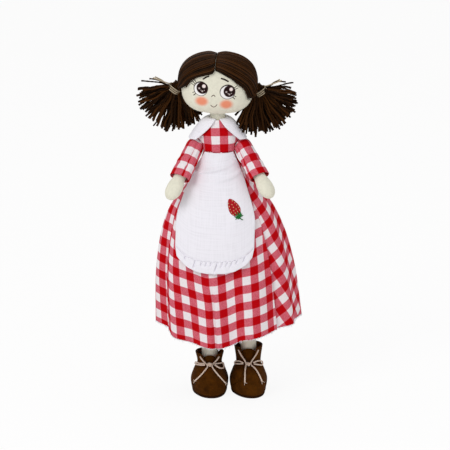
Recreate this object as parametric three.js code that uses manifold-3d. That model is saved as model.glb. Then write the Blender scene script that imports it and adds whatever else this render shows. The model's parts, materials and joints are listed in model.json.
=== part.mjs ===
// Rag doll with yarn pigtails, a gingham dress, an apron and laced felt shoes.
// Millimetres, +Z up. The doll faces -Y and stands on Z = 0, and left and right are the doll's own.
import * as THREE from 'three';
import { mergeVertices } from 'three/addons/utils/BufferGeometryUtils.js';
import Module from 'manifold-3d';

const wasm = await Module();
wasm.setup();

// Whole doll
const CLEARANCE = 0.3; // gap kept between neighbouring pieces
const LEAN = 0.04; // shift towards the doll's right for each millimetre of height
const CLOTH = 1.0; // dress and apron cloth
const SIDES = { right: -1, left: 1 };

// Legs
const HIP_HEIGHT = 182;
const HIP_SPACING = 34;
const FOOT_SPACING = 43.6;
const THIGH_RADIUS = 12.5;
const CALF_RADIUS = 10.5;
const ANKLE_RADIUS = 8.8;

// Shoes
const SOLE_THICKNESS = 3;
const INSOLE_THICKNESS = 1.5;
const FELT = 1.5;
const SHOE_HALF_WIDTH = 21.2;
const SHOE_TOE = 38; // from the ankle's axis to the toe
const SHOE_HEEL = 21; // from the ankle's axis to the heel
const TOE_BOX_HEIGHT = 24;
const INSTEP_RISE = 5; // from the toe box to the top of the foot
const ANKLE_RISE = 9; // from the toe box to the narrowest part of the shoe
const SHOE_HEIGHT = { right: 44, left: 52 };
const ANKLE_EASE = 1.4; // slack between ankle, tongue and quarter
const TOP_FLARE = 2.2; // how far the open top of the shoe turns out
const NOTCH_HALF_WIDTH = 9.5; // half the opening between the shoe's flaps at the top
const NOTCH_BOTTOM = 3.4; // half the same opening where it meets the vamp
const VAMP_LAP = 2; // how far the vamp reaches above the foot, and the notch below the vamp
const VAMP_TOP_HALF = 4;
const VAMP_SLOPE = 1.4; // fall of the vamp's seam for each millimetre across
const TONGUE_DROP = 2.5; // from the top of the shoe to the top of the tongue
const LACE_RADIUS = 0.8;
const KNOT_RADIUS = 2.6;

// Torso
const TORSO_LENGTH = 121;
const HIP_HALF_WIDTH = 21;
const CHEST_HALF_WIDTH = 14.5;
const TORSO_FLATNESS = 0.84; // depth of the torso for its width
const NECK_RADIUS = 8.5;
const NECK_LENGTH = 38;
const NECK_SOCKET_DEPTH = 15;
const NECK_WALL = 2;
const NECK_ROUNDING = 4;

// Head and hair
const HEAD_HALF_WIDTH = 40.5;
const HEAD_HALF_HEIGHT = 31.5;
const HEAD_HALF_DEPTH = 27;
const HEAD_ROUNDNESS = 2.5; // exponent of the head's outline
const HEAD_FORWARD = 2;
const HEAD_ROLL = 2; // degrees, towards the doll's left shoulder
const CHIN_GAP = 9; // from the top of the torso to the chin
const NOD_RANGE = 10; // degrees each way
const HAIR_THICKNESS = 4.5;
const HAIRLINE_HEIGHT = 22.5; // above the head's middle, at the parting
const NAPE_DEPTH = 23; // below the head's middle
const PARTING = 1.2;

// Pigtails and their ties
const TIE_DEPTH = 9; // below the head's middle
const TIE_BACK = 14; // behind the head's middle
const BUNCH_RADIUS = 6.2;
const FAN_START = 8; // from the bunch's middle to where the yarn starts to spread
const FAN_OPEN = 17; // from the bunch's middle to where the fan is three tenths open
const PIGTAIL_LENGTH = 43;
const PIGTAIL_SPREAD = 41; // half the width of the cut ends, along their arc
const PIGTAIL_THICKNESS = 14; // half the depth of the cut ends
const PIGTAIL_SLANT = 0.08; // how much longer the yarn is towards the neck, and shorter away from it
const PIGTAIL_ANGLE = 37; // degrees out from straight down
const FAN_POINTS = 20; // facets round each pigtail
const TIE_RADIUS = 0.7;
const TIE_TURNS = 3;
const TIE_GAP = 0.6; // between neighbouring turns

// Dress
const YOKE_LENGTH = 36; // from the top of the torso to the skirt's seam
const SKIRT_LENGTH = 212; // down the front
const HEM_SIDE_RISE = 18;
const HEM_HALF_WIDTH = 83;
const HEM_HALF_DEPTH = 58;
// Share of the skirt's widening that is reached at each share of its length
const SKIRT_PROFILE = [
  [0, 0], [0.06, 0.055], [0.13, 0.155], [0.2, 0.29], [0.285, 0.53],
  [0.4, 0.72], [0.55, 0.855], [0.75, 0.95], [1, 1],
];
const FOLD_COUNT = 10;
const FOLD_DEPTH = 6;
const COLLAR_HALF_WIDTH = 32.5;
const COLLAR_HALF_DEPTH = 20;
const COLLAR_THICKNESS = 1.4;
const COLLAR_FALL = 23;
const COLLAR_OPENING = 56; // degrees from the middle of the front to the collar's lower corner
const COLLAR_NECK_GAP = 14; // the same at the neckline
const COLLAR_BACK = 176; // degrees from the middle of the front to the collar's end behind
const COLLAR_ROLL = 1.5; // exponent of the collar's fall from the neckline
const COLLAR_ROUNDING = 0.12; // share of its reach that the collar loses at its corners

// Apron and its motif
const APRON_LENGTH = 116;
const APRON_HALF_WIDTH = 44;
const APRON_CORNER = 15; // how much shorter the apron is at its sides
const APRON_SHIFT = 9; // how far the apron has slid towards the doll's right
const RUFFLE_DEPTH = 12;
const RUFFLE_WAVE = 1.6;
const RUFFLE_COUNT = 8;
const BERRY_HALF_WIDTH = 7;
const BERRY_HEIGHT = 17;
const MOTIF_THICKNESS = 0.8;
const MOTIF_ANGLE = -150; // degrees, with the berry's tip up and towards the doll's right
const LEAF_REACH = 2.9;
const LEAF_POINTS = 5;

// Arms
const ARM_LENGTH = 70; // from the shoulder joint to the finger tips
const ARM_AZIMUTH = { right: 55, left: 53 }; // degrees forward from straight out sideways
const SHOULDER_DROP = 34; // from the top of the torso to the shoulder joint
const SLEEVE_RADIUS = 9.8;
const CUFF_HALF_WIDTH = 11;
const CUFF_HALF_DEPTH = 8.6;
const SLEEVE_LENGTH = 38;
const WRIST_RADIUS = 6.6;
const HAND_HALF_WIDTH = 9.6;
const HAND_HALF_DEPTH = 7.6;
const ARM_REST_GAP = 0.4;
const THREAD_RADIUS = 0.8;
const BUTTON_RADIUS = 4.2;
const BUTTON_THICKNESS = 2;

// Levels worked out from the driving dimensions
const torsoBottom = HIP_HEIGHT + THIGH_RADIUS + CLEARANCE;
const torsoTop = torsoBottom + TORSO_LENGTH;
const seamHeight = torsoTop - YOKE_LENGTH;
const shoulderHeight = torsoTop - SHOULDER_DROP;
const headHeight = torsoTop + CHIN_GAP + HEAD_HALF_HEIGHT;
const ankleHalf = ANKLE_RADIUS + 2 * (FELT + CLEARANCE) + ANKLE_EASE;
const footTop = TOE_BOX_HEIGHT + INSTEP_RISE;
const leanAt = (z) => -LEAN * z;
const radians = THREE.MathUtils.degToRad;
const point = (x, y, z) => new THREE.Vector3(x, y, z);

// Smooth curve through [place, value] stops, with no overshoot between them
function along(stops, place) {
  const last = stops.length - 1;
  const t = THREE.MathUtils.clamp(place, stops[0][0], stops[last][0]);
  let i = 0;
  while (i < last - 1 && t > stops[i + 1][0]) i += 1;
  const climb = (k) => (stops[k + 1][1] - stops[k][1]) / (stops[k + 1][0] - stops[k][0]);
  const slope = (k) => {
    const before = climb(Math.max(k - 1, 0));
    const after = climb(Math.min(k, last - 1));
    return before * after <= 0 ? 0 : (2 * before * after) / (before + after);
  };
  const [t0, v0] = stops[i];
  const [t1, v1] = stops[i + 1];
  const span = t1 - t0;
  const u = (t - t0) / span;
  const rise = u * u * (3 - 2 * u);
  const start = u * (1 - u) * (1 - u) * span;
  const end = u * u * (u - 1) * span;
  return v0 + (v1 - v0) * rise + slope(i) * start + slope(i + 1) * end;
}

// Evenly spaced values from a to b
const spread = (a, b, steps) => Array.from({ length: steps + 1 }, (_, i) => a + ((b - a) * i) / steps);

// Closed ring of points from a function of the angle
const ring = (count, at) => Array.from({ length: count }, (_, i) => at((i / count) * 2 * Math.PI));

// Signed power, for rounded-box outlines
const bulge = (value, exponent) => Math.sign(value) * Math.abs(value) ** exponent;

// Level ring, egg-shaped where front and back differ
function levelRing(count, centre, halfWidth, front, back = front, exponent = 1) {
  return ring(count, (angle) => {
    const across = bulge(Math.cos(angle), exponent);
    const ahead = bulge(Math.sin(angle), exponent);
    const reach = ahead > 0 ? front : back;
    return point(centre.x + halfWidth * across, centre.y - reach * ahead, centre.z);
  });
}

function volumeOf(positions, index) {
  let total = 0;
  const corner = (k) => point(...positions.slice(3 * index[k], 3 * index[k] + 3));
  for (let k = 0; k < index.length; k += 3) {
    total += corner(k).dot(corner(k + 1).cross(corner(k + 2))) / 6;
  }
  return total;
}

// Skin over a row of rings. A ring of one point is a pole. The ends are capped with a fan or,
// for a flat ring that runs out and back, with a strip, and a looped row has no ends.
function loft(rings, ends = 'fan') {
  const rows = [...rings];
  const centreOf = (row) => row.reduce((sum, p) => sum.add(p), point(0, 0, 0)).divideScalar(row.length);
  if (ends === 'fan') {
    if (rows[0].length > 1) rows.unshift([centreOf(rows[0])]);
    if (rows[rows.length - 1].length > 1) rows.push([centreOf(rows[rows.length - 1])]);
  }
  const positions = [];
  const starts = [];
  for (const row of rows) {
    starts.push(positions.length / 3);
    row.forEach((p) => positions.push(p.x, p.y, p.z));
  }
  const index = [];
  const bands = ends === 'looped' ? rows.length : rows.length - 1;
  for (let k = 0; k < bands; k += 1) {
    const next = (k + 1) % rows.length;
    const count = Math.max(rows[k].length, rows[next].length);
    const place = (row, i) => starts[row] + (rows[row].length > 1 ? i % count : 0);
    for (let i = 0; i < count; i += 1) {
      if (rows[k].length > 1) index.push(place(k, i), place(k, i + 1), place(next, i));
      if (rows[next].length > 1) index.push(place(k, i + 1), place(next, i + 1), place(next, i));
    }
  }
  if (ends === 'strip') {
    const last = starts[starts.length - 1];
    const count = rows[0].length;
    for (let i = 0; i < count / 2 - 1; i += 1) {
      const far = count - 1 - i;
      index.push(i + 1, i, far, i + 1, far, far - 1);
      index.push(last + i, last + i + 1, last + far, last + i + 1, last + far - 1, last + far);
    }
  }
  if (volumeOf(positions, index) < 0) index.reverse();
  const geometry = new THREE.BufferGeometry();
  geometry.setAttribute('position', new THREE.Float32BufferAttribute(positions, 3));
  geometry.setIndex(index);
  return geometry;
}

// Sheet of even thickness between a grid of points and the same grid moved along its normals
function sheet(grid, thickness) {
  const rows = grid.length;
  const columns = grid[0].length;
  const within = THREE.MathUtils.clamp;
  const at = (r, c) => grid[within(r, 0, rows - 1)][within(c, 0, columns - 1)];
  const raised = grid.map((row, r) => row.map((p, c) => {
    const down = at(r + 1, c).clone().sub(at(r - 1, c));
    const across = at(r, c + 1).clone().sub(at(r, c - 1));
    return p.clone().addScaledVector(down.cross(across).normalize(), thickness);
  }));
  return loft(grid.map((row, r) => [...row, ...[...raised[r]].reverse()]), 'strip');
}

// Solid for joining and cutting
function solid(geometry) {
  const bare = geometry.clone();
  bare.deleteAttribute('normal');
  bare.deleteAttribute('uv');
  const merged = mergeVertices(bare, 1e-4);
  return new wasm.Manifold(new wasm.Mesh({
    numProp: 3,
    vertProperties: new Float32Array(merged.attributes.position.array),
    triVerts: new Uint32Array(merged.index.array),
  }));
}

function geometryOf(made) {
  const mesh = made.getMesh();
  const geometry = new THREE.BufferGeometry();
  geometry.setAttribute('position', new THREE.BufferAttribute(mesh.vertProperties, 3));
  geometry.setIndex(new THREE.BufferAttribute(mesh.triVerts, 1));
  return geometry;
}

// Round cord through points, smooth between them
function cord(points, radius, steps, sides = 8) {
  const curve = new THREE.CatmullRomCurve3(points, false, 'centripetal');
  const corner = (angle) => new THREE.Vector2(radius * Math.cos(angle), radius * Math.sin(angle));
  const outline = new THREE.Shape(ring(sides, corner));
  return new THREE.ExtrudeGeometry(outline, { steps, extrudePath: curve, bevelEnabled: false });
}

// Prism through the front of a piece, from an outline of [x, z] pairs, between two depths ahead of the axis
function frontPrism(outline, nearest, farthest) {
  const shape = new THREE.Shape(outline.map(([x, z]) => new THREE.Vector2(x, z)));
  const prism = new THREE.ExtrudeGeometry(shape, { depth: farthest - nearest, bevelEnabled: false });
  return solid(prism.rotateX(Math.PI / 2).translate(0, -nearest, 0));
}

const COLOURS = {
  skin: 0xe4e1cc,
  hair: 0x3a2412,
  tie: 0xd9c6a4,
  gingham: 0xd2404c,
  cotton: 0xefedf2,
  felt: 0x4b2c14,
  sole: 0x2c1a0e,
  board: 0xb59a72,
  lace: 0xd9bfa8,
  berry: 0xc0121f,
  leaf: 0x2a7a34,
  button: 0xd8cfc0,
};

function add(group, name, geometry, colour) {
  const material = new THREE.MeshStandardMaterial({ color: COLOURS[colour], roughness: 0.85 });
  const mesh = new THREE.Mesh(geometry, material);
  mesh.name = name;
  group.add(mesh);
  return mesh;
}

const doll = new THREE.Group();

// Torso, widest at the hips, with a socket for the neck
const torsoStops = [
  [0, HIP_HALF_WIDTH * 0.72],
  [0.12, HIP_HALF_WIDTH],
  [0.5, (HIP_HALF_WIDTH + CHEST_HALF_WIDTH) / 2],
  [0.82, CHEST_HALF_WIDTH],
  [0.93, CHEST_HALF_WIDTH * 0.94],
  [1, NECK_RADIUS + NECK_WALL],
];
const torsoDepth = (half) => Math.max(half * TORSO_FLATNESS, NECK_RADIUS + NECK_WALL);
function torsoRing(count, t, grow) {
  const z = torsoBottom + t * TORSO_LENGTH;
  const half = along(torsoStops, t);
  return levelRing(count, point(leanAt(z), 0, z), half + grow, torsoDepth(half) + grow);
}
const neckX = leanAt(torsoTop);
const neckBottom = torsoTop - NECK_SOCKET_DEPTH;
const socket = solid(loft(spread(neckBottom, torsoTop + NECK_LENGTH, 1).map((z) =>
  levelRing(20, point(neckX, 0, z), NECK_RADIUS + CLEARANCE, NECK_RADIUS + CLEARANCE))));
const torsoRows = [0, 0.05, 0.12, 0.3, 0.5, 0.68, 0.82, 0.93, 1];
const shoulderX = along(torsoStops, 1 - SHOULDER_DROP / TORSO_LENGTH)
  + 3 * CLEARANCE + CLOTH + SLEEVE_RADIUS;
const shoulderCentre = leanAt(shoulderHeight);
const threadReach = shoulderX + SLEEVE_RADIUS - CLOTH - 2 * CLEARANCE - BUTTON_THICKNESS;
const threadBore = (grow) => solid(new THREE.CylinderGeometry(THREAD_RADIUS + grow, THREAD_RADIUS + grow,
  2 * (threadReach + grow), 12).rotateZ(Math.PI / 2).translate(shoulderCentre, 0, shoulderHeight));
const torsoForm = solid(loft(torsoRows.map((t) => torsoRing(20, t, 0))));
add(doll, 'torso', geometryOf(torsoForm.subtract(socket).subtract(threadBore(CLEARANCE))), 'skin');
add(doll, 'shoulder_thread', geometryOf(threadBore(0)), 'tie');

// Neck, a blunt roll between the torso's socket and the head's pocket
const neck = new THREE.Group();
neck.name = 'neck_pivot';
neck.position.set(neckX, 0, torsoTop);
doll.add(neck);
const neckRows = [
  [CLEARANCE - NECK_SOCKET_DEPTH, 1],
  [NECK_LENGTH - NECK_ROUNDING, 1],
  [NECK_LENGTH - 0.25 * NECK_ROUNDING, 0.8],
  [NECK_LENGTH, 0.4],
];
add(neck, 'neck', loft(neckRows.map(([z, part]) =>
  levelRing(20, point(0, 0, z), NECK_RADIUS * part, NECK_RADIUS * part))), 'skin');

// Head, in its own tilted frame
const head = new THREE.Group();
head.name = 'head_pivot';
head.position.set(neckX, -HEAD_FORWARD, headHeight);
head.rotation.y = radians(HEAD_ROLL);
doll.add(head);
const headScale = (t) => (1 - Math.abs(t) ** HEAD_ROUNDNESS) ** (1 / HEAD_ROUNDNESS);
function headForm(grow, count, rows) {
  const levels = Array.from({ length: rows - 1 }, (_, i) => -Math.cos((Math.PI * (i + 1)) / rows));
  const high = HEAD_HALF_HEIGHT + grow;
  const rings = levels.map((t) => levelRing(count, point(0, 0, t * high),
    (HEAD_HALF_WIDTH + grow) * headScale(t), (HEAD_HALF_DEPTH + grow) * headScale(t), undefined, 0.92));
  return solid(loft([[point(0, 0, -high)], ...rings, [point(0, 0, high)]]));
}
const neckEnd = torsoTop + NECK_LENGTH - headHeight;
const nodReach = NECK_LENGTH / 2;
const pocketHalf = NECK_RADIUS + 2 * CLEARANCE;
const pocketDepth = pocketHalf + nodReach * Math.tan(radians(NOD_RANGE));
const pocket = solid(loft(spread(-2 * HEAD_HALF_HEIGHT, neckEnd + NECK_WALL, 1).map((z) =>
  levelRing(20, point(0, HEAD_FORWARD, z), pocketHalf, pocketDepth)))).rotate([0, -HEAD_ROLL, 0]);
add(head, 'head', geometryOf(headForm(0, 24, 10).subtract(pocket)), 'skin');

// Hair, combed down from the parting and open over the face
const far = 2 * HEAD_HALF_WIDTH;
const hairline = [[0.22, 0.73], [0.45, 0.49], [0.72, 0.27], [0.9, 0], [0.93, -0.5], [0.93, -9]]
  .map(([across, up]) => [across * HEAD_HALF_WIDTH, up * HAIRLINE_HEIGHT]);
const mirrored = hairline.map(([x, z]) => [-x, z]).reverse();
const faceOpening = frontPrism([[0, HAIRLINE_HEIGHT], ...hairline, ...mirrored], -1, far);
const hairCap = headForm(HAIR_THICKNESS, 24, 10).subtract(headForm(CLEARANCE, 24, 10)).subtract(faceOpening);
for (const [side, sign] of Object.entries(SIDES)) {
  const half = solid(new THREE.BoxGeometry(far, 2 * far, far + NAPE_DEPTH)
    .translate((sign * (far + PARTING)) / 2, 0, (far - NAPE_DEPTH) / 2));
  add(head, `${side}_hair`, geometryOf(hairCap.intersect(half)), 'hair');
}

// Pigtails fan out from a tied bunch that rests on the hair
const tieScale = headScale(TIE_DEPTH / (HEAD_HALF_HEIGHT + HAIR_THICKNESS));
const tieWide = (HEAD_HALF_WIDTH + HAIR_THICKNESS) * tieScale;
const tieDeep = (HEAD_HALF_DEPTH + HAIR_THICKNESS) * tieScale;
const tieReach = tieWide * Math.sqrt(Math.max(1 - (TIE_BACK / tieDeep) ** 2, 0.3));
const fanStops = [
  [FAN_START, BUNCH_RADIUS],
  [FAN_OPEN, 0.3 * PIGTAIL_SPREAD],
  [PIGTAIL_LENGTH, PIGTAIL_SPREAD],
];
function fanRing(count, reach, sign) {
  const half = along(fanStops, reach);
  const thick = THREE.MathUtils.mapLinear(reach, FAN_START, PIGTAIL_LENGTH, BUNCH_RADIUS, PIGTAIL_THICKNESS);
  return ring(count, (angle) => {
    const turn = (sign * half * Math.cos(angle)) / reach;
    const deep = thick * bulge(Math.sin(angle), 0.8);
    const hang = reach * (1 - PIGTAIL_SLANT * Math.cos(angle) * (reach / PIGTAIL_LENGTH));
    return point(hang * Math.sin(turn), deep, -hang * Math.cos(turn));
  });
}
const bunchRows = [[0.92, 0.38], [0.6, 0.8], [0.1, 0.99], [-1.5, 1]];
const bunchRings = (sign) => bunchRows.map(([z, part]) =>
  levelRing(FAN_POINTS, point(0, 0, z * BUNCH_RADIUS), sign * part * BUNCH_RADIUS, -part * BUNCH_RADIUS));
const fanRings = (sign) => spread(FAN_OPEN, PIGTAIL_LENGTH, 3).map((reach) => fanRing(FAN_POINTS, reach, sign));

// One tie: a tail, turns round the bunch, and the other tail
function tiePoints(sign) {
  const wound = BUNCH_RADIUS + TIE_RADIUS + CLEARANCE;
  const pitch = 2 * TIE_RADIUS + TIE_GAP;
  const first = -0.3 * BUNCH_RADIUS;
  const turn = (part) => {
    const angle = part * 2 * Math.PI;
    return point(sign * wound * Math.cos(angle), wound * Math.sin(angle), first - part * pitch);
  };
  const turns = spread(0, TIE_TURNS, TIE_TURNS * 12).map(turn);
  const last = turns[turns.length - 1].z;
  const tail = (x, y, z) => point(sign * (wound + x), y, z);
  const upper = [tail(21, -9, first - 5), tail(10, -9, first - 2), tail(2.6, -6, first - 0.4)];
  const lower = [tail(1.6, 5, last - 0.3), tail(7, 9, last + 0.6), tail(17, 10, last - 1)];
  return [...upper, ...turns, ...lower];
}
function leastSelfGap(points, radius) {
  const samples = new THREE.CatmullRomCurve3(points, false, 'centripetal').getSpacedPoints(600);
  const step = samples[0].distanceTo(samples[1]);
  const apart = Math.ceil((6 * radius) / step);
  let least = Infinity;
  samples.forEach((p, i) => {
    for (let j = i + apart; j < samples.length; j += 1) least = Math.min(least, p.distanceTo(samples[j]));
  });
  return least - 2 * radius;
}
for (const [side, sign] of Object.entries(SIDES)) {
  const pigtail = new THREE.Group();
  pigtail.name = `${side}_pigtail_pivot`;
  const offset = BUNCH_RADIUS + 2 * CLEARANCE;
  const outward = new THREE.Vector2(tieReach / tieWide ** 2, TIE_BACK / tieDeep ** 2).normalize();
  pigtail.position.set(sign * (tieReach + offset * outward.x), TIE_BACK + offset * outward.y, -TIE_DEPTH);
  pigtail.rotation.y = -sign * radians(PIGTAIL_ANGLE) - head.rotation.y;
  head.add(pigtail);
  const tip = point(0, 0, -1.06 * PIGTAIL_LENGTH);
  const behind = point(0, 0, BUNCH_RADIUS);
  const yarn = [[behind], ...bunchRings(sign), ...fanRings(sign), [tip]];
  add(pigtail, `${side}_pigtail`, loft(yarn), 'hair');
  const route = tiePoints(sign);
  console.log(`${side} tie least gap to itself ${leastSelfGap(route, TIE_RADIUS).toFixed(2)} mm`);
  add(pigtail, `${side}_hair_tie`, cord(route, TIE_RADIUS, 24 * TIE_TURNS, 6), 'tie');
}

// Bodice, a close shell over the torso from the skirt's seam to the neck
const seamPart = 1 - YOKE_LENGTH / TORSO_LENGTH;
const bodiceRows = [seamPart, 0.82, 0.93, 1];
const bodiceInside = bodiceRows.map((t) => torsoRing(20, t, CLEARANCE));
const bodiceOutside = bodiceRows.map((t) => torsoRing(20, t, CLEARANCE + CLOTH));
const bodice = solid(loft([...bodiceOutside, ...bodiceInside.reverse()], 'looped'));
add(doll, 'dress_bodice', geometryOf(bodice.subtract(threadBore(CLEARANCE))), 'gingham');

// Skirt, flaring from the seam and folded towards the hem
const seamHalf = along(torsoStops, seamPart) + CLEARANCE + CLOTH;
const seamDeep = torsoDepth(along(torsoStops, seamPart)) + CLEARANCE + CLOTH;
const skirtTop = seamHeight - CLEARANCE;
const skirtDrop = (across) => SKIRT_LENGTH - HEM_SIDE_RISE * across * across;
const skirtPart = (z, across) => THREE.MathUtils.clamp((skirtTop - z) / skirtDrop(across), 0, 1);
const skirtHalf = (part) => THREE.MathUtils.lerp(seamHalf, HEM_HALF_WIDTH, along(SKIRT_PROFILE, part));
const skirtDeep = (part) => THREE.MathUtils.lerp(seamDeep, HEM_HALF_DEPTH, along(SKIRT_PROFILE, part));
const sway = (part) => leanAt(seamHeight) * (1 - part ** 1.4);
function skirtRing(part, grow) {
  return ring(5 * FOLD_COUNT, (angle) => {
    const across = Math.cos(angle);
    const ahead = Math.sin(angle);
    const fold = FOLD_DEPTH * part * (0.5 - 0.5 * Math.cos(FOLD_COUNT * angle + 1));
    const z = skirtTop - part * skirtDrop(across);
    const x = sway(part) + (skirtHalf(part) - fold + grow) * across;
    return point(x, -(skirtDeep(part) - fold + grow) * ahead, z);
  });
}
const skirtParts = [0, 0.06, 0.13, 0.2, 0.285, 0.42, 0.7, 1];
const skirtOutside = skirtParts.map((part) => skirtRing(part, 0));
const skirtInside = skirtParts.map((part) => skirtRing(part, -CLOTH));
add(doll, 'dress_skirt', loft([...skirtOutside, ...skirtInside.reverse()], 'looped'), 'gingham');

// Point on the front of the unfolded skirt, lifted off it, at a share of the way between two places across
function onSkirt(left, right, share, z, lift) {
  const angleIn = (half) => {
    const angleOf = (across) => Math.asin(THREE.MathUtils.clamp(across / half, -0.98, 0.98));
    return THREE.MathUtils.lerp(angleOf(left), angleOf(right), share);
  };
  const across = Math.sin(angleIn(skirtHalf(skirtPart(z, 0.5)) + lift));
  const part = skirtPart(z, across);
  const half = skirtHalf(part) + lift;
  const angle = angleIn(half);
  return point(sway(part) + half * Math.sin(angle), -(skirtDeep(part) + lift) * Math.cos(angle), z);
}

// Apron and its gathered edge, laid over the front of the skirt
const apronLift = 3 * CLEARANCE;
const apronStops = [
  [0, 0.94 * seamHalf],
  [0.35, 0.74 * APRON_HALF_WIDTH],
  [0.75, APRON_HALF_WIDTH],
  [1, APRON_HALF_WIDTH],
];
const apronDrop = (u) => APRON_LENGTH - APRON_CORNER * Math.abs(u) ** 3;
function apronPoint(u, v, lift) {
  const z = skirtTop - 0.5 - v * apronDrop(u);
  const middle = -APRON_SHIFT * v;
  const half = along(apronStops, v);
  return onSkirt(middle - half, middle + half, (u + 1) / 2, z, apronLift + lift);
}
const apronRows = skirtParts.map((part) => (part * SKIRT_LENGTH) / APRON_LENGTH).filter((v) => v < 0.95);
const apronGrid = [...apronRows, 1].map((v) => spread(-1, 1, 9).map((u) => apronPoint(u, v, 0)));
add(doll, 'apron', sheet(apronGrid, CLOTH), 'cotton');
const ruffleGrid = spread(0, 1, 2).map((down) => spread(-1, 1, 4 * RUFFLE_COUNT).map((u) => {
  const v = 1 + (CLEARANCE + down * RUFFLE_DEPTH * (1 - 0.35 * u * u)) / apronDrop(u);
  const wave = RUFFLE_WAVE * (0.4 + 0.6 * down) * (1 - Math.cos(RUFFLE_COUNT * Math.PI * (u + 1)));
  return apronPoint(u * (1 - 0.05 * down), v, wave);
}));
add(doll, 'apron_ruffle', sheet(ruffleGrid, CLOTH), 'cotton');

// Flat motif on the apron, from an outline of [across, up] pairs set some way above the motif's middle
const motifX = 0.33 * APRON_HALF_WIDTH;
const motifZ = skirtTop - 0.49 * APRON_LENGTH;
function motif(outline, above) {
  const turn = radians(MOTIF_ANGLE);
  const base = apronLift + CLOTH + 2 * CLEARANCE;
  const layer = (lift) => [0.06, 0.55, 1].map((part) => outline.map(([x, z]) => {
    const up = above + part * z;
    const across = part * x * Math.cos(turn) - up * Math.sin(turn);
    const height = part * x * Math.sin(turn) + up * Math.cos(turn);
    return onSkirt(motifX, motifX + across, 1, motifZ + height, lift);
  }));
  return loft([...layer(base), ...layer(base + MOTIF_THICKNESS).reverse()]);
}
const berryOutline = ring(16, (angle) => {
  const up = Math.sin(angle);
  return [BERRY_HALF_WIDTH * Math.cos(angle) * (0.74 + 0.26 * up), (BERRY_HEIGHT / 2) * up];
});
add(doll, 'strawberry', motif(berryOutline, 0), 'berry');
const leafOutline = ring(4 * LEAF_POINTS, (angle) => {
  const reach = LEAF_REACH * (1 + 0.28 * Math.cos(LEAF_POINTS * angle));
  return [1.55 * reach * Math.cos(angle), 0.6 * reach * Math.sin(angle)];
});
const leafAbove = BERRY_HEIGHT / 2 + 0.77 * LEAF_REACH + 4 * CLEARANCE;
add(doll, 'strawberry_leaf', motif(leafOutline, leafAbove), 'leaf');

// Collar halves, rolling from the neckline out over the shoulders
const collarInner = NECK_RADIUS + 2 * CLEARANCE;
const collarTop = torsoTop + CLEARANCE;
const necklineRadius = NECK_RADIUS + NECK_WALL + CLOTH + 2 * CLEARANCE;
const collarFall = Math.min(COLLAR_FALL, collarTop - shoulderHeight - SLEEVE_RADIUS - 2 * CLEARANCE);
function collarPoint(sign, turn, out) {
  const frontGap = THREE.MathUtils.lerp(COLLAR_NECK_GAP, COLLAR_OPENING, Math.max(out, 0) ** 2);
  const angle = radians(THREE.MathUtils.lerp(frontGap, COLLAR_BACK, turn));
  const rounded = 1 - COLLAR_ROUNDING * Math.cos(2 * Math.PI * turn) ** 8;
  const reach = (outer) => {
    if (out < 0) return collarInner;
    return THREE.MathUtils.lerp(necklineRadius, outer * rounded, out);
  };
  const x = reach(COLLAR_HALF_WIDTH) * Math.sin(angle);
  const y = -reach(COLLAR_HALF_DEPTH) * Math.cos(angle);
  return point(neckX + sign * x, y, collarTop - collarFall * Math.max(out, 0) ** COLLAR_ROLL);
}
for (const [side, sign] of Object.entries(SIDES)) {
  const row = (out) => spread(0, 1, 12).map((turn) => collarPoint(sign, turn, out));
  add(doll, `${side}_collar`, sheet([-1, 0, 0.3, 0.65, 1].map(row), sign * COLLAR_THICKNESS), 'cotton');
}

// Arms, hung from the shoulder and tilted until they lie on the skirt
const armRoot = SLEEVE_RADIUS - CLOTH - CLEARANCE;
const armStops = (hand) => [
  [0, armRoot],
  [0.3, 0.86 * armRoot],
  [0.56, WRIST_RADIUS],
  [0.8, hand],
  [1, 0.5 * hand],
];
const armWide = armStops(HAND_HALF_WIDTH);
const armDeep = armStops(HAND_HALF_DEPTH);
const shoulderCap = (radius) => [60, 30].map(radians).map((rise) =>
  levelRing(16, point(0, 0, radius * Math.sin(rise)), radius * Math.cos(rise), radius * Math.cos(rise)));
const armRows = [0, 0.12, 0.3, 0.45, 0.56, 0.67, 0.8, 0.91, 0.97];
function armForm() {
  const row = (t) => levelRing(16, point(0, 0, -t * ARM_LENGTH), along(armWide, t), along(armDeep, t));
  const tip = point(0, 0, -ARM_LENGTH);
  return solid(loft([[point(0, 0, armRoot)], ...shoulderCap(armRoot), ...armRows.map(row), [tip]]));
}
const sleeveWide = [[0, SLEEVE_RADIUS], [1, CUFF_HALF_WIDTH]];
const sleeveDeep = [[0, SLEEVE_RADIUS], [1, CUFF_HALF_DEPTH]];
function sleeveForm(inset, extra) {
  const top = SLEEVE_RADIUS - inset;
  const row = (t, z) =>
    levelRing(16, point(0, 0, z), along(sleeveWide, t) - inset, along(sleeveDeep, t) - inset);
  const rings = [0, 0.5, 1].map((t) => row(t, -t * SLEEVE_LENGTH));
  const rim = extra > 0 ? [row(1, -SLEEVE_LENGTH - extra)] : [];
  return solid(loft([[point(0, 0, top)], ...shoulderCap(top), ...rings, ...rim]));
}
const armDirection = (side, tilt) => {
  const sign = SIDES[side];
  const turn = radians(ARM_AZIMUTH[side]);
  return point(sign * Math.sin(tilt) * Math.cos(turn), -Math.sin(tilt) * Math.sin(turn), -Math.cos(tilt));
};
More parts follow.
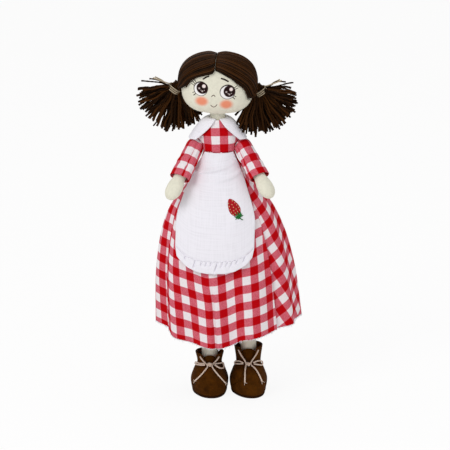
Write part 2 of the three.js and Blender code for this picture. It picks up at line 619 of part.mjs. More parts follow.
function armClears(side, tilt) {
  const sign = SIDES[side];
  const direction = armDirection(side, tilt);
  const root = point(shoulderCentre + sign * shoulderX, 0, shoulderHeight);
  const overlay = apronLift + CLOTH;
  const outside = (q) => {
    const part = skirtPart(q.z, 0.8 * sign);
    const x = (q.x - sway(part)) / (skirtHalf(part) + overlay);
    return Math.hypot(x, q.y / (skirtDeep(part) + overlay)) - 1;
  };
  return spread(0.1, 1, 12).every((t) => {
    const reach = t * ARM_LENGTH;
    const p = root.clone().addScaledVector(direction, reach);
    if (p.z > skirtTop) return true;
    const here = outside(p);
    const steps = [point(1, 0, 0), point(0, 1, 0), point(0, 0, 1)];
    const steepness = Math.hypot(...steps.map((step) => outside(step.add(p)) - here));
    const radius = reach < SLEEVE_LENGTH ? along(sleeveDeep, reach / SLEEVE_LENGTH) : along(armDeep, t);
    return here > steepness * (radius + ARM_REST_GAP);
  });
}
function restingTilt(side) {
  let low = 0;
  let high = radians(80);
  for (let i = 0; i < 24; i += 1) {
    const middle = (low + high) / 2;
    if (armClears(side, middle)) high = middle;
    else low = middle;
  }
  return high;
}
for (const [side, sign] of Object.entries(SIDES)) {
  const arm = new THREE.Group();
  arm.name = `${side}_arm_pivot`;
  arm.position.set(shoulderCentre + sign * shoulderX, 0, shoulderHeight);
  arm.quaternion.setFromUnitVectors(point(0, 0, -1), armDirection(side, restingTilt(side)));
  doll.add(arm);
  const toArm = (geometry) => geometry.translate(...arm.position.clone().negate())
    .applyQuaternion(arm.quaternion.clone().invert());
  const bore = solid(toArm(geometryOf(threadBore(CLEARANCE))));
  const flatTurn = [0, 0, sign * (90 - ARM_AZIMUTH[side])];
  const disc = (grow, from, to) => {
    const round = new THREE.CylinderGeometry(BUTTON_RADIUS + grow, BUTTON_RADIUS + grow, to - from, 16);
    const x = shoulderCentre + (sign * (from + to)) / 2;
    return solid(toArm(round.rotateZ(Math.PI / 2).translate(x, 0, shoulderHeight)));
  };
  const seat = threadReach + CLEARANCE;
  const button = disc(0, seat, seat + BUTTON_THICKNESS);
  const sink = disc(CLEARANCE, seat - CLEARANCE, seat + SLEEVE_RADIUS);
  const pinch = disc(CLEARANCE, seat - CLEARANCE, seat + BUTTON_THICKNESS + CLEARANCE);
  add(arm, `${side}_arm`, geometryOf(armForm().rotate(flatTurn).subtract(bore).subtract(sink)), 'skin');
  add(arm, `${side}_shoulder_button`, geometryOf(button), 'button');
  const shell = sleeveForm(0, 0).subtract(sleeveForm(CLOTH, SLEEVE_LENGTH)).rotate(flatTurn);
  add(arm, `${side}_sleeve`, geometryOf(shell.subtract(bore).subtract(pinch)), 'gingham');
}

// Shoe form at a height, as an egg-shaped ring about the ankle's axis
function shoeRing(side, z, grow, count = 20) {
  const high = SHOE_HEIGHT[side];
  const box = TOE_BOX_HEIGHT;
  const rows = (base, mid, top, ankle, rim) =>
    [[0, base], [0.5 * box, mid], [box, top], [box + ANKLE_RISE, ankle], [high, rim]];
  const wide = along(rows(0.74 * SHOE_HALF_WIDTH, SHOE_HALF_WIDTH, 0.84 * SHOE_HALF_WIDTH,
    ankleHalf, ankleHalf + TOP_FLARE), z);
  const rim = ankleHalf + TOP_FLARE / 2;
  const front = along(rows(0.8 * SHOE_TOE, SHOE_TOE, 0.76 * SHOE_TOE, ankleHalf, rim), z);
  const back = along(rows(0.88 * SHOE_HEEL, SHOE_HEEL, 0.95 * SHOE_HEEL, ankleHalf, rim), z);
  return levelRing(count, point(0, 0, z), wide + grow, front + grow, back + grow, 0.94);
}

// Place on the front of the shoe at a distance across and a height, lifted straight off the felt
function shoeFront(side, x, z) {
  const outline = shoeRing(side, z, 0, 96).slice(0, 49);
  const next = Math.max(outline.findIndex((p) => p.x < x), 1);
  const share = (x - outline[next - 1].x) / (outline[next].x - outline[next - 1].x);
  return point(x, THREE.MathUtils.lerp(outline[next - 1].y, outline[next].y, share), z);
}
function onShoe(side, x, z, lift) {
  const step = 0.6;
  const across = shoeFront(side, x + step, z).sub(shoeFront(side, x - step, z));
  const up = shoeFront(side, x, z + step).sub(shoeFront(side, x, z - step));
  return shoeFront(side, x, z).addScaledVector(across.cross(up).normalize(), lift);
}

// Lace routes as [across, up, lift] places on the shoe, for the strand with its tail and for the bow loop
const LACE_ROUTES = {
  right: {
    right: {
      strand: [
        [-10.2, -2.5, 0], [-7.4, -6.5, 0.2], [-4.6, -11, 0.5], [-4, -14.5, 0.6],
        [-7, -18, 0.3], [-12, -23, 0.2], [-16.5, -28, 0.2],
      ],
      loop: [
        [-4.6, -12.6, 2.6], [-8.5, -10.5, 2.4], [-12.8, -11.5, 2.2],
        [-13.6, -14, 2.2], [-9.5, -14.6, 2.6], [-4.9, -14.4, 3.0],
      ],
    },
    left: {
      strand: [
        [10.2, -2.5, 0], [7.4, -6.5, 0.2], [4.6, -11, 0.5], [4, -14.5, 0.6],
        [6.5, -19, 0.3], [11, -24, 0.2], [15.5, -29.5, 0.2],
      ],
      loop: [
        [4.6, -11.6, 2.6], [8.5, -10.2, 2.4], [12.6, -13, 2.2],
        [13.6, -17.2, 2.2], [9.5, -16.8, 2.6], [4.9, -14.4, 3.0],
      ],
    },
  },
  left: {
    right: {
      strand: [
        [-10.6, -2.8, 0], [-8, -8, 0.2], [-5, -15, 0.5], [-4, -19.5, 0.6],
        [-4.5, -24, 0.3], [-6, -29, 0.2], [-7, -34.5, 0.2],
      ],
      loop: [
        [-4.6, -17, 2.6], [-8, -15.4, 2.4], [-12, -17.5, 2.2],
        [-13, -21.5, 2.2], [-9, -21.4, 2.6], [-4.9, -19.6, 3.0],
      ],
    },
    left: {
      strand: [
        [10.6, -2.8, 0], [8, -8, 0.2], [5, -15, 0.5], [4, -19.5, 0.6],
        [6.5, -24, 0.3], [9.5, -29, 0.2], [11.5, -34.5, 0.2],
      ],
      loop: [
        [4.6, -16.6, 2.6], [8.5, -15.2, 2.4], [12.6, -18.2, 2.2],
        [13.4, -23, 2.2], [9.4, -22.4, 2.6], [4.9, -19.4, 3.0],
      ],
    },
  },
};
const KNOT_DROP = { right: 13.2, left: 18.2 };

// Feet and shoes
const footSize = -FELT - CLEARANCE;
const upperBottom = SOLE_THICKNESS + CLEARANCE;
const insoleBottom = SOLE_THICKNESS + CLEARANCE;
const footBottom = insoleBottom + INSOLE_THICKNESS + CLEARANCE;
const vampTop = footTop + VAMP_LAP;
function wedge(grow) {
  const outer = 2 * SHOE_HALF_WIDTH;
  const corner = vampTop - VAMP_SLOPE * (SHOE_HALF_WIDTH - VAMP_TOP_HALF) + 1.5 * grow;
  const half = [[VAMP_TOP_HALF + grow, vampTop + grow], [outer, corner], [outer, -vampTop]];
  const other = half.map(([x, z]) => [-x, z]).reverse();
  return frontPrism([...half, ...other], -VAMP_LAP - grow, 2 * SHOE_TOE);
}
for (const [side, sign] of Object.entries(SIDES)) {
  const high = SHOE_HEIGHT[side];
  const shoe = new THREE.Group();
  shoe.name = `${side}_shoe`;
  shoe.position.set((sign * FOOT_SPACING) / 2, 0, 0);
  doll.add(shoe);
  const soleLevels = [0, 0.6 * SOLE_THICKNESS, SOLE_THICKNESS];
  add(shoe, `${side}_shoe_sole`, loft(soleLevels.map((z) => shoeRing(side, z, 0))), 'sole');
  add(shoe, `${side}_insole`, loft([insoleBottom, insoleBottom + INSOLE_THICKNESS].map((z) =>
    shoeRing(side, upperBottom, footSize).map((p) => point(p.x, p.y, z)))), 'board');
  const formLevels = [0.25, 0.5, 0.8].map((part) => part * TOE_BOX_HEIGHT);
  const ankleHeight = TOE_BOX_HEIGHT + ANKLE_RISE;
  const levels = [upperBottom, ...formLevels, footTop, ankleHeight, (ankleHeight + high) / 2, high];
  const hollowLevels = [upperBottom - FELT, ...levels.slice(1, -1), high + FELT];
  const outer = solid(loft(levels.map((z) => shoeRing(side, z, 0))));
  const inner = solid(loft(hollowLevels.map((z) => shoeRing(side, z, -FELT))));
  const upper = outer.subtract(inner);
  const notch = frontPrism([
    [-NOTCH_HALF_WIDTH, high + FELT],
    [-NOTCH_BOTTOM, vampTop - VAMP_LAP],
    [NOTCH_BOTTOM, vampTop - VAMP_LAP],
    [NOTCH_HALF_WIDTH, high + FELT],
  ], 0, 2 * SHOE_TOE);
  add(shoe, `${side}_shoe_vamp`, geometryOf(upper.intersect(wedge(0))), 'felt');
  add(shoe, `${side}_shoe_quarter`, geometryOf(upper.subtract(wedge(CLEARANCE)).subtract(notch)), 'felt');
  const tongueRow = (z) => shoeRing(side, z, footSize - 3 * CLEARANCE, 32).slice(4, 13);
  const tongueRows = spread(footTop + FELT + CLEARANCE, high - TONGUE_DROP, 3).map(tongueRow);
  add(shoe, `${side}_shoe_tongue`, sheet(tongueRows, -FELT), 'felt');

  const laceLift = LACE_RADIUS + CLEARANCE;
  const place = ([x, drop, lift]) => onShoe(side, x, high + drop, lift + laceLift);
  for (const end of Object.keys(SIDES)) {
    const routes = LACE_ROUTES[side][end];
    add(shoe, `${side}_lace_${end}_strand`, cord(routes.strand.map(place), LACE_RADIUS, 11), 'lace');
    add(shoe, `${side}_lace_${end}_loop`, cord(routes.loop.map(place), LACE_RADIUS, 12), 'lace');
  }
  const knotAt = onShoe(side, 0, high - KNOT_DROP[side], KNOT_RADIUS + CLEARANCE);
  add(shoe, `${side}_lace_knot`, new THREE.SphereGeometry(KNOT_RADIUS, 10, 7)
    .scale(1, 0.9, 0.9).translate(knotAt.x, knotAt.y, knotAt.z), 'lace');

  // The leg stands on the foot inside the shoe and runs up to a round end at the hip
  const hipX = leanAt(HIP_HEIGHT) + (sign * HIP_SPACING) / 2;
  const footX = (sign * FOOT_SPACING) / 2;
  const hipEnd = HIP_HEIGHT + THIGH_RADIUS;
  const calf = 0.5 * HIP_HEIGHT;
  const legX = [[0, footX], [footTop, footX], [high, footX], [HIP_HEIGHT, hipX], [hipEnd, hipX]];
  const legHalf = [[0, ANKLE_RADIUS], [high, ANKLE_RADIUS], [calf, CALF_RADIUS], [HIP_HEIGHT, THIGH_RADIUS]];
  const legRow = (z, radius) => levelRing(18, point(along(legX, z), 0, z), radius, radius);
  const shaftLevels = [footTop + CLEARANCE, high, ...[0.42, 0.6, 0.8, 1].map((part) => part * HIP_HEIGHT)];
  const shaft = shaftLevels.map((z) => legRow(z, along(legHalf, z)));
  const dome = [25, 50, 72].map(radians).map((rise) =>
    legRow(HIP_HEIGHT + THIGH_RADIUS * Math.sin(rise), THIGH_RADIUS * Math.cos(rise)));
  const footLevels = [footBottom, ...formLevels, footTop];
  add(shoe, `${side}_foot`, loft(footLevels.map((z) => shoeRing(side, z, footSize - CLEARANCE))), 'skin');
  add(doll, `${side}_leg`, loft([...shaft, ...dome, [point(hipX, 0, hipEnd)]]), 'skin');
}

// Origin on the floor, at the middle of the outline without its cords
const outline = new THREE.Box3();
doll.updateMatrixWorld(true);
doll.traverse((piece) => {
  if (piece.isMesh && !/lace|hair_tie/.test(piece.name)) outline.expandByObject(piece, true);
});
const middle = outline.getCenter(point(0, 0, 0));
doll.position.set(-middle.x, -middle.y, -outline.min.z);
const group = new THREE.Group();
group.add(doll);

export default group;
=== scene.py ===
"""Rag doll with yarn pigtails, a gingham dress, an apron and laced felt shoes.

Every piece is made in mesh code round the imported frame. Shapes are worked out in millimetres about
the doll's own upright axis, and become metres in the frame when a piece is built.
"""

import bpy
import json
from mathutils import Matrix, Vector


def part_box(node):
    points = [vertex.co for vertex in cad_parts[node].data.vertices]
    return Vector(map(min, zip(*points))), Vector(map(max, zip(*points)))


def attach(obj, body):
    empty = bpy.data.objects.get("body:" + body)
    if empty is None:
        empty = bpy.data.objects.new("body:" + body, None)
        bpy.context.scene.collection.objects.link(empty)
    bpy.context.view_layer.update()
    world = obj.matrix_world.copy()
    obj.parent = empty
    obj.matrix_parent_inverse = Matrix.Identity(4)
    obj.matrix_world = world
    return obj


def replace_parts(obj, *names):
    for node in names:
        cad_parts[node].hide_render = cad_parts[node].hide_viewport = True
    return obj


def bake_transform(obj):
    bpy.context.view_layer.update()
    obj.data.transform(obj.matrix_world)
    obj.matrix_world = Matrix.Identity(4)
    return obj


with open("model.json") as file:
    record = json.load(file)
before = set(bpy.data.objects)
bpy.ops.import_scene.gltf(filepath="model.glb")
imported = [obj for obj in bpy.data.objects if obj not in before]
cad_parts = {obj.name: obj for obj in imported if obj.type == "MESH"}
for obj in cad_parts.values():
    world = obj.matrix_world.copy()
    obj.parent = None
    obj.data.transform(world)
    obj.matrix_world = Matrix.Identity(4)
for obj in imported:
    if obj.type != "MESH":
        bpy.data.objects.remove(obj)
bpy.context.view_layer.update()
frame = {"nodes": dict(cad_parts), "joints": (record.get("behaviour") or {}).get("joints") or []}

import json
import math

import bmesh
import bpy
import numpy as np
from bpy.props import FloatProperty, FloatVectorProperty, IntProperty, PointerProperty
from mathutils import Matrix, Vector

bl_info = {
    "name": "Rag doll",
    "version": (1, 0, 0),
    "blender": (4, 5, 0),
    "location": "3D View > Sidebar > Rag doll",
    "description": "Dresses the packed rag doll in cloth, yarn, felt and cord",
    "category": "Object",
}

MM = 0.001
# Points closer than this are welded, in millimetres
WELD = 0.002
# How far a cloth's edge stands out, against its thickness
EDGE_ROUNDING = 0.4
# A direction that no strand starts along
FIRST_ASIDE = (0.31, 0.87, 0.38)
SIDES = {"right": -1, "left": 1}

# Steps round and along the stuffed pieces, and across and down the sheets
ROUTE_STEPS = 24
BODY_STEPS = 48
LIMB_STEPS = 40
LIMB_ROWS = 60
HEAD_STEPS, HEAD_ROWS = 112, 64
BODICE_STEPS, BODICE_ROWS = 72, 28
SKIRT_STEPS, SKIRT_ROWS = 480, 90
APRON_STEPS, APRON_ROWS = 80, 110
RUFFLE_STEPS, RUFFLE_ROWS = 260, 18
COLLAR_STEPS, COLLAR_ROWS = 90, 36
SLEEVE_STEPS, SLEEVE_ROWS = 64, 40
SHOULDER_ROWS = 12
SOLE_STEPS = 72
VAMP_STEPS, VAMP_ROWS = 70, 56
QUARTER_STEPS, QUARTER_ROWS = 110, 70
TONGUE_STEPS, TONGUE_ROWS = 40, 40
MOTIF_STEPS, MOTIF_ROWS = 64, 14
TIE_STEPS = 260
LACE_STEPS = 60
KNOT_STEPS = 90

# Sizes that repeat the part's own, in millimetres
LEAN = 0.04
CLEARANCE = 0.3
CLOTH = 1.0
TORSO_BOTTOM = 194.8
TORSO_LENGTH = 121.0
TORSO_TOP = TORSO_BOTTOM + TORSO_LENGTH
TORSO_STOPS = [(0, 15.12), (0.12, 21), (0.5, 17.75), (0.82, 14.5), (0.93, 13.63), (1, 10.5)]
TORSO_FLATNESS = 0.84
NECK_RADIUS = 8.5
NECK_WALL = 2.0
NECK_LENGTH = 38.0
NECK_SOCKET = 15.0
HEAD_HALF = np.array([40.5, 27.0, 31.5])
HEAD_ROUNDNESS = 2.5
HEAD_CORNER = 0.92
HEAD_FORWARD = 2.0
HEAD_ROLL = math.radians(2)
HEAD_HEIGHT = TORSO_TOP + 9.0 + HEAD_HALF[2]
HAIR_THICKNESS = 4.5
BUNCH_RADIUS = 6.2
PIGTAIL_THICKNESS = 14.0
PIGTAIL_ANGLE = math.radians(37)
TIE_RADIUS = 0.7
TIE_TURNS = 3
TIE_GAP = 0.6
YOKE_LENGTH = 36.0
SKIRT_LENGTH = 212.0
HEM_SIDE_RISE = 18.0
HEM_HALF_WIDTH = 83.0
HEM_HALF_DEPTH = 58.0
SKIRT_PROFILE = [
    (0, 0), (0.06, 0.065), (0.13, 0.18), (0.2, 0.32), (0.285, 0.54),
    (0.4, 0.72), (0.55, 0.855), (0.75, 0.95), (1, 1),
]
FOLD_COUNT = 10
FOLD_DEPTH = 6.0
COLLAR_HALF_WIDTH = 32.5
COLLAR_HALF_DEPTH = 20.0
COLLAR_THICKNESS = 1.4
COLLAR_FALL = 23.0
COLLAR_ANGLES = (14, 56, 176)
COLLAR_ROLL = 1.5
APRON_LENGTH = 116.0
APRON_HALF_WIDTH = 44.0
APRON_CORNER = 15.0
APRON_SHIFT = 9.0
RUFFLE_DEPTH = 12.0
RUFFLE_WAVE = 1.6
RUFFLE_COUNT = 8
BERRY_TOP = 8.5
MOTIF_TURN = math.radians(-150)
LEAF_REACH = 2.9
ARM_LENGTH = 70.0
ARM_AZIMUTH = {"right": 55, "left": 53}
SLEEVE_RADIUS = 9.8
WRIST_RADIUS = 6.6
HAND_HALF = (9.6, 7.6)
FOOT_SPACING = 43.6
SOLE_THICKNESS = 3.0
INSOLE = 1.5
FELT = 1.5
SHOE_HALF_WIDTH = 21.2
SHOE_TOE = 38.0
SHOE_HEEL = 21.0
TOE_BOX_HEIGHT = 24.0
FOOT_TOP = 29.0
ANKLE_RISE = 9.0
SHOE_HEIGHT = {"right": 44.0, "left": 52.0}
ANKLE_RADIUS = 8.8
ANKLE_HALF = ANKLE_RADIUS + 2 * (FELT + CLEARANCE) + 1.4
TOP_FLARE = 2.2
NOTCH_HALF = (3.4, 9.5)
VAMP_TOP = 31.0
VAMP_TOP_HALF = 4.0
VAMP_SLOPE = 1.4
TONGUE_DROP = 2.5
LACE_RADIUS = 0.8
KNOT_DROP = {"right": 13.2, "left": 18.2}
HIP_HEIGHT = 182.0
HIP_SPACING = 34.0
THIGH_RADIUS = 12.5
CALF_RADIUS = 10.5

SEAM_HEIGHT = TORSO_TOP - YOKE_LENGTH
SKIRT_TOP = SEAM_HEIGHT - CLEARANCE
NECK_X = -LEAN * TORSO_TOP

# Cloth, stitching and felt as they lie on the doll, a little fuller or rounder than the part's own
COLLAR_ROUNDING = 0.06
COLLAR_TIP_FALL = 0.9
BERRY_HALF_WIDTH = 8.4
BERRY_HEIGHT = 19.5
SLEEVE_LENGTH = 41.0
CUFF_HALF = (12.3, 9.4)
SHOE_CORNER = 0.94
TOE_TURN = {"right": 0.09, "left": 0.16}
FLAP_TURN = 1.3
TONGUE_ROUNDING = 5.5

# Head: fuller chin and jaw than the solid's, the neck's pocket, and how far down the face is printed
CHIN_FULLNESS = 2.2
JAW_ROUNDNESS = 2.75
HEAD_CUT = -0.92
POCKET_RIM = (0.965, 0.955)
HEAD_NOD = math.radians(10)
FACE_DROP = 1.5
# Printed face, in millimetres across and above the head's middle
CHEEKS = [(-17.3, -13.6), (10.2, -16.2)]
CHEEK_HALF = (6.6, 5.3)
EYES = [
    {"centre": (-18.8, 1.0), "half": (7.6, 8.1), "iris": (-17.1, 2.0), "glint": (-15.4, 4.3)},
    {"centre": (11.1, -1.3), "half": (8.4, 8.2), "iris": (13.1, -0.5), "glint": (15.0, 1.8)},
]
IRIS_HALF = (6.5, 6.7)
PUPIL_HALF = (5.2, 5.4)
GLINT_HALF = (1.9, 2.0)
# Small lights in each iris: across, up and half size
SPARKS = [(-3.4, -0.7, 1.0), (0.1, -3.6, 0.9), (-1.4, -2.6, 0.5), (2.2, -2.4, 0.5)]
# Shares of a stroke's half width between which its ink fades out
STROKE_EDGE = (0.7, 1.3)
# Lashes and brows, then nose and mouth: half width and points of each stroke
INK_STROKES = [
    (0.4, [(-25.6, 6.0), (-28.4, 8.6)]),
    (0.4, [(-24.2, 7.8), (-26.3, 10.4)]),
    (0.34, [(-26.3, 4.0), (-29.2, 5.6)]),
    (0.5, [(-24.2, -5.2), (-26.4, -7.4)]),
    (0.34, [(-25.6, -3.4), (-27.6, -4.6)]),
    (0.4, [(18.6, 3.6), (21.4, 5.4)]),
    (0.34, [(19.4, 1.8), (22.4, 2.8)]),
    (0.5, [(17.2, -7.4), (19.2, -9.6)]),
    (0.4, [(18.4, -5.8), (20.6, -7.0)]),
    (0.85, [(-16.4, 12.3), (-13.6, 14.3), (-10.6, 15.8)]),
    (0.9, [(3.9, 13.9), (7.4, 12.9), (11.2, 10.9)]),
]
LINE_STROKES = [
    (0.42, [(-6.4, -7.3), (-5.6, -5.9), (-4.5, -5.3), (-3.5, -5.6), (-2.7, -6.6)]),
    (0.4, [(-7.0, -17.7), (-5.6, -19.3), (-3.6, -20.0), (-1.8, -19.0), (-0.2, -16.7)]),
]

# Where the tied bunch leaves the head, in the head's frame
TIE_ON_HEAD = (39.9, 14.0, -9.0)
# Places that combed strands pass at the front, above the brow, at the crown, the back and the nape,
# in the head's frame, for the left half. The front rows differ, because the parting is off the middle.
COMB_PLACES = [0.0, 0.15, 0.35, 0.7, 1.0]
COMB_FRONT = {
    "right": [(6.5, -27, 19), (16, -25, 14.6), (28, -22, 10.2), (38, -14, -1.5)],
    "left": [(8.5, -28, 17), (18.5, -27, 10.8), (30.5, -23, 1.5), (36.2, -16, -11)],
}
COMB_BEHIND = [
    [(12, -15, 28), (27, -14, 20), (39, -9, 9), (43.5, 0, -3)],
    [(18, 6, 33), (33, 5, 24), (42, 6, 10), (44, 9, -1)],
    [(14, 29, 7), (28, 25, 4), (38, 19, -1), (42, 17, -5)],
    [(12, 25.5, -21), (24, 22, -20), (33, 20, -17), (39, 19, -13)],
]
# The parting, the strands and the cap under them
PARTING_ANGLES = (math.radians(41.5), math.radians(222.6))
PARTING_SHIFT = -3.6
PARTING_HALF = 0.6
PARTING_FADE = 0.6
PARTING_RADIUS = 30
GATHER_RADIUS = 4.5
STRAND_STEPS = 30
STRAND_SINK = 0.9
CAP_ROWS = 60
CAP_SINK = 1.6
CAP_THICKNESS = 2.0
# How the strands vary
HAIR_SEED = 11
STRAND_LIFT = (-0.45, 0.35)
STRAND_SHIFT = (-0.006, 0.006)
STRAND_RADIUS = (0.55, 0.85)
# Short ends that stick out of the combed edge, and the share of the front strand along which they start
WISPS = 9
WISP_STEPS = 8
WISP_SINK = 1.2
WISP_LIFT = 2.2
WISP_RADIUS = 0.75
WISP_ASIDE = (-0.5, 1.5)
WISP_DROOP = (1.5, 4.5)
WISP_SPAN = {"right": (0.3, 0.5), "left": (0.28, 0.62)}

# Length of the pigtails' yarn by its angle from straight down, outwards, in degrees
YARN_LENGTHS = [(-55, 43), (-40, 45), (-28, 49), (-12, 51), (15, 53), (45, 49), (75, 46), (100, 40)]
FAN_ANGLES = {"right": (-52, 84), "left": (-32, 84)}
YARN_STEPS = 22
YARN_SIDES = 10
YARN_PLY = 0.17
YARN_TWIST = 0.75
# How the yarns vary: degrees, shares of length and thickness, waves along a yarn and their reach
YARN_SEED = 23
YARN_SWERVE = (-5, 5)
YARN_LENGTH_SHARES = (0.84, 1.05)
YARN_THICKNESS_SHARES = (0.85, 1.15)
YARN_WAVES = (7, 13)
YARN_WAVE_REACH = (0.4, 1.3)
# Stray ends above the fan: angle, length and depth
STRAYS = [(97, 40, 4), (106, 32, -3)]
# How far the inner yarns turn towards the cheek as they leave the tie, and hang in front of the rest
YARN_HUG = 0.8
YARN_LEAST_TURN = -18
INNER_FORWARD = {"right": -7, "left": 17}

# Where the checks lie on the flat cloth
SKIRT_CHECK_SHIFT = (0.7, 3.0)
BODICE_CHECK_SHIFT = (10.4, 0)
SLEEVE_CHECK_SHIFT = (3.0, 1.5)
DRESS_CLOTH = 0.8 * CLOTH
# How much longer the skirt hangs at places from the doll's right to its left
HEM_SHIFT = [(-1, 4), (-0.7, 6), (-0.3, 6), (0, 2), (0.25, -4), (0.5, -4.5), (0.8, -3.5), (1, -1)]
# Angles round the skirt of the front panel's folded edges and of its narrow crease
FOLD_EDGES = (math.radians(45), math.radians(152))
CREASE = math.radians(101)
FOLD_EDGE_DEPTH = 3.2
FOLD_EDGE_WIDTH = 0.2
CREASE_DEPTH = 3.6
CREASE_WIDTH = 0.028
SIDE_PANEL_TURN = math.radians(29)
# Gathers below the seam, and the skirt's shallow waves
GATHER_COUNT = 46
GATHER_DEPTH = 0.5
WAVE_COUNT = 17
WAVE_DEPTH = 0.7
# Loose pale threads along the raw hem
HEM_SEED = 5
FRAYED_THREADS = 420
THREAD_SPREAD = 0.35
THREAD_LENGTHS = (0.6, 1.9)
THREAD_RADIUS = 0.28
# How far the gathers stand out behind the arms
BACK_FULLNESS = 8.0
# Half width of the bodice at shares of the torso's height, from the seam to the sleeves and the neck
BODICE_SIDES = [
    (0.7, 18.2), (0.75, 18.4), (0.81, 21.8), (0.86, 22.0), (0.93, 18.5), (0.985, 11.0), (1, 11.0),
]

# A place behind the apron, which tells its outside
APRON_INSIDE = (-9.0, 0.0, 220.0)
# Tucks of the ruffle: place across the apron, and share of the ruffle's depth that each runs down
RUFFLE_TUCKS = [
    (-0.72, 0.6), (-0.46, 1.1), (-0.3, 0.5), (-0.18, 0.55), (-0.06, 0.45), (0.08, 1.1),
    (0.2, 0.6), (0.31, 0.5), (0.43, 0.6), (0.55, 0.5), (0.74, 0.6),
]
TUCK_DEPTH = 2.4
TUCK_HALF = 0.02
TUCK_LEAN = 0.09
APRON_CREASE = 3.6
APRON_WAVE = 1.0
RUFFLE_OVERLAP = 0.6

# Where the strawberry lies on the apron, and how far off the skirt
MOTIF_AT = (0.33 * APRON_HALF_WIDTH, SKIRT_TOP - 0.49 * APRON_LENGTH)
MOTIF_LIFT = 3 * CLEARANCE + CLOTH + 2 * CLEARANCE
MOTIF_SINK = 0.6
BERRY_TAPER = 0.26
BERRY_SEED_ROWS = (-6.6, 5.6, 5)
# Tips of the leaf: across and length
LEAF_TIPS = [(-3.4, 4.6), (-1.2, 6.2), (1.4, 5.8), (3.6, 4.2)]

# Where each sleeve's seam lies round it, in radians
SLEEVE_SEAM = {"right": 2.4, "left": 4.5}
# Height of the sleeve's head against its radius, to fill the space under the collar
SLEEVE_CAP = 1.12
SLEEVE_FULLNESS = 0.35
SEAM_GROOVE = 1.3
SLEEVE_CREASE = 0.35

# Loose fibres at each lace's cut end
FIBRE_SEED = 3
LACE_FIBRES = 9
FIBRE_SPREAD = 0.45
FIBRE_LENGTHS = (1.6, 3.0)
FIBRE_RADIUS = 0.22
# Strands and knots of the laces, and the lines of twist on laces and ties, whose darkening is painted
# shade in the grooves
KNOT_LIFT = 1.9
KNOT_SCALE = (0.72, 0.95, 0.6)
LACE_SIDES = 10
LACE_PLY = 0.1
LACE_TWIST = 1.3
LACE_PITCH = 2.4
TIE_PITCH = 2.2

# Colours of the hidden fittings
BUTTON_COLOUR = "#D8CFC0"
CARD_COLOUR = "#B59A72"
LINEN_COLOUR = "#D9C6A4"

# Lamps and the point that they and the camera face, in metres
LAMPS = [
    {"name": "key_lamp", "place": (-1.1, -1.5, 1.7), "size": 1.3, "power": 20},
    {"name": "fill_lamp", "place": (1.5, -1.2, 0.9), "size": 1.4, "power": 3},
    {"name": "top_lamp", "place": (0.1, 0.5, 2.0), "size": 1.4, "power": 6},
]
AIM = (0.0033, 0.0006, 0.1914)
# Camera, floor and light
SENSOR = 36
CLIP_END = 30
FLOOR_HALF = 6
FLOOR_DROP = 0.0002
AMBIENT = 0.58
FLOOR_GLOW = 0.9

# Lace routes as (across, up from the shoe's top, lift) on each shoe, for the strands and the bow's loops
LACE_ROUTES = {
    "right": {
        "right_strand": [
            (-10.2, -2.5, 0), (-7.4, -6.5, 0.2), (-3.4, -11, 0.5), (-2.4, -14, 0.6),
            (-7, -18, 0.3), (-12, -23, 0.2), (-16.5, -28, 0.2),
        ],
        "right_loop": [
            (-4.6, -12.6, 2.6), (-8.5, -10.5, 2.4), (-12.8, -11.5, 2.2),
            (-13.6, -14, 2.2), (-9.5, -14.6, 2.6), (-4.9, -14.4, 3.0),
        ],
        "left_strand": [
            (10.2, -2.5, 0), (7.4, -6.5, 0.2), (3.4, -11, 0.5), (2.4, -14, 0.6),
            (6.5, -19, 0.3), (11, -24, 0.2), (15.5, -29.5, 0.2),
        ],
        "left_loop": [
            (4.6, -11.6, 2.6), (8.5, -10.2, 2.4), (12.6, -13, 2.2),
            (13.6, -17.2, 2.2), (9.5, -16.8, 2.6), (4.9, -14.4, 3.0),
        ],
    },
    "left": {
        "right_strand": [
            (-10.6, -2.8, 0), (-8, -8, 0.2), (-3.6, -15, 0.5), (-2.4, -18.8, 0.6),
            (-4.5, -24, 0.3), (-6, -29, 0.2), (-7, -34.5, 0.2),
        ],
        "right_loop": [
            (-4.6, -17, 2.6), (-8, -15.4, 2.4), (-12, -17.5, 2.2),
            (-13, -21.5, 2.2), (-9, -21.4, 2.6), (-4.9, -19.6, 3.0),
        ],
        "left_strand": [
            (10.6, -2.8, 0), (8, -8, 0.2), (3.6, -15, 0.5), (2.4, -18.8, 0.6),
            (6.5, -24, 0.3), (9.5, -29, 0.2), (11.5, -34.5, 0.2),
        ],
        "left_loop": [
            (4.6, -16.6, 2.6), (8.5, -15.2, 2.4), (12.6, -18.2, 2.2),
            (13.4, -23, 2.2), (9.4, -22.4, 2.6), (4.9, -19.4, 3.0),
        ],
    },
}

# The doll's upright axis in the frame, from the neck, whose place on that axis is known
_low, _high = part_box("neck")
AXIS = np.array([(_low.x + _high.x) / 2 / MM - NECK_X, (_low.y + _high.y) / 2 / MM, 0.0])

# Sockets of a colour mix
MIX_A, MIX_B, MIX_RESULT = 6, 7, 2


def linear(colour):
    """Linear red, green and blue of an sRGB hex colour."""
    parts = [int(colour[k:k + 2], 16) / 255 for k in (1, 3, 5)]
    return tuple(p / 12.92 if p <= 0.04045 else ((p + 0.055) / 1.055) ** 2.4 for p in parts)


def colour_property(name, description, colour):
    """Colour setting of a property group."""
    return FloatVectorProperty(
        name=name, description=description, subtype="COLOR", size=3, min=0, max=1, default=linear(colour)
    )


def length_property(name, description, millimetres):
    """Length setting of a property group, from a size in millimetres."""
    return FloatProperty(
        name=name, description=description, subtype="DISTANCE", unit="LENGTH", default=millimetres * MM
    )


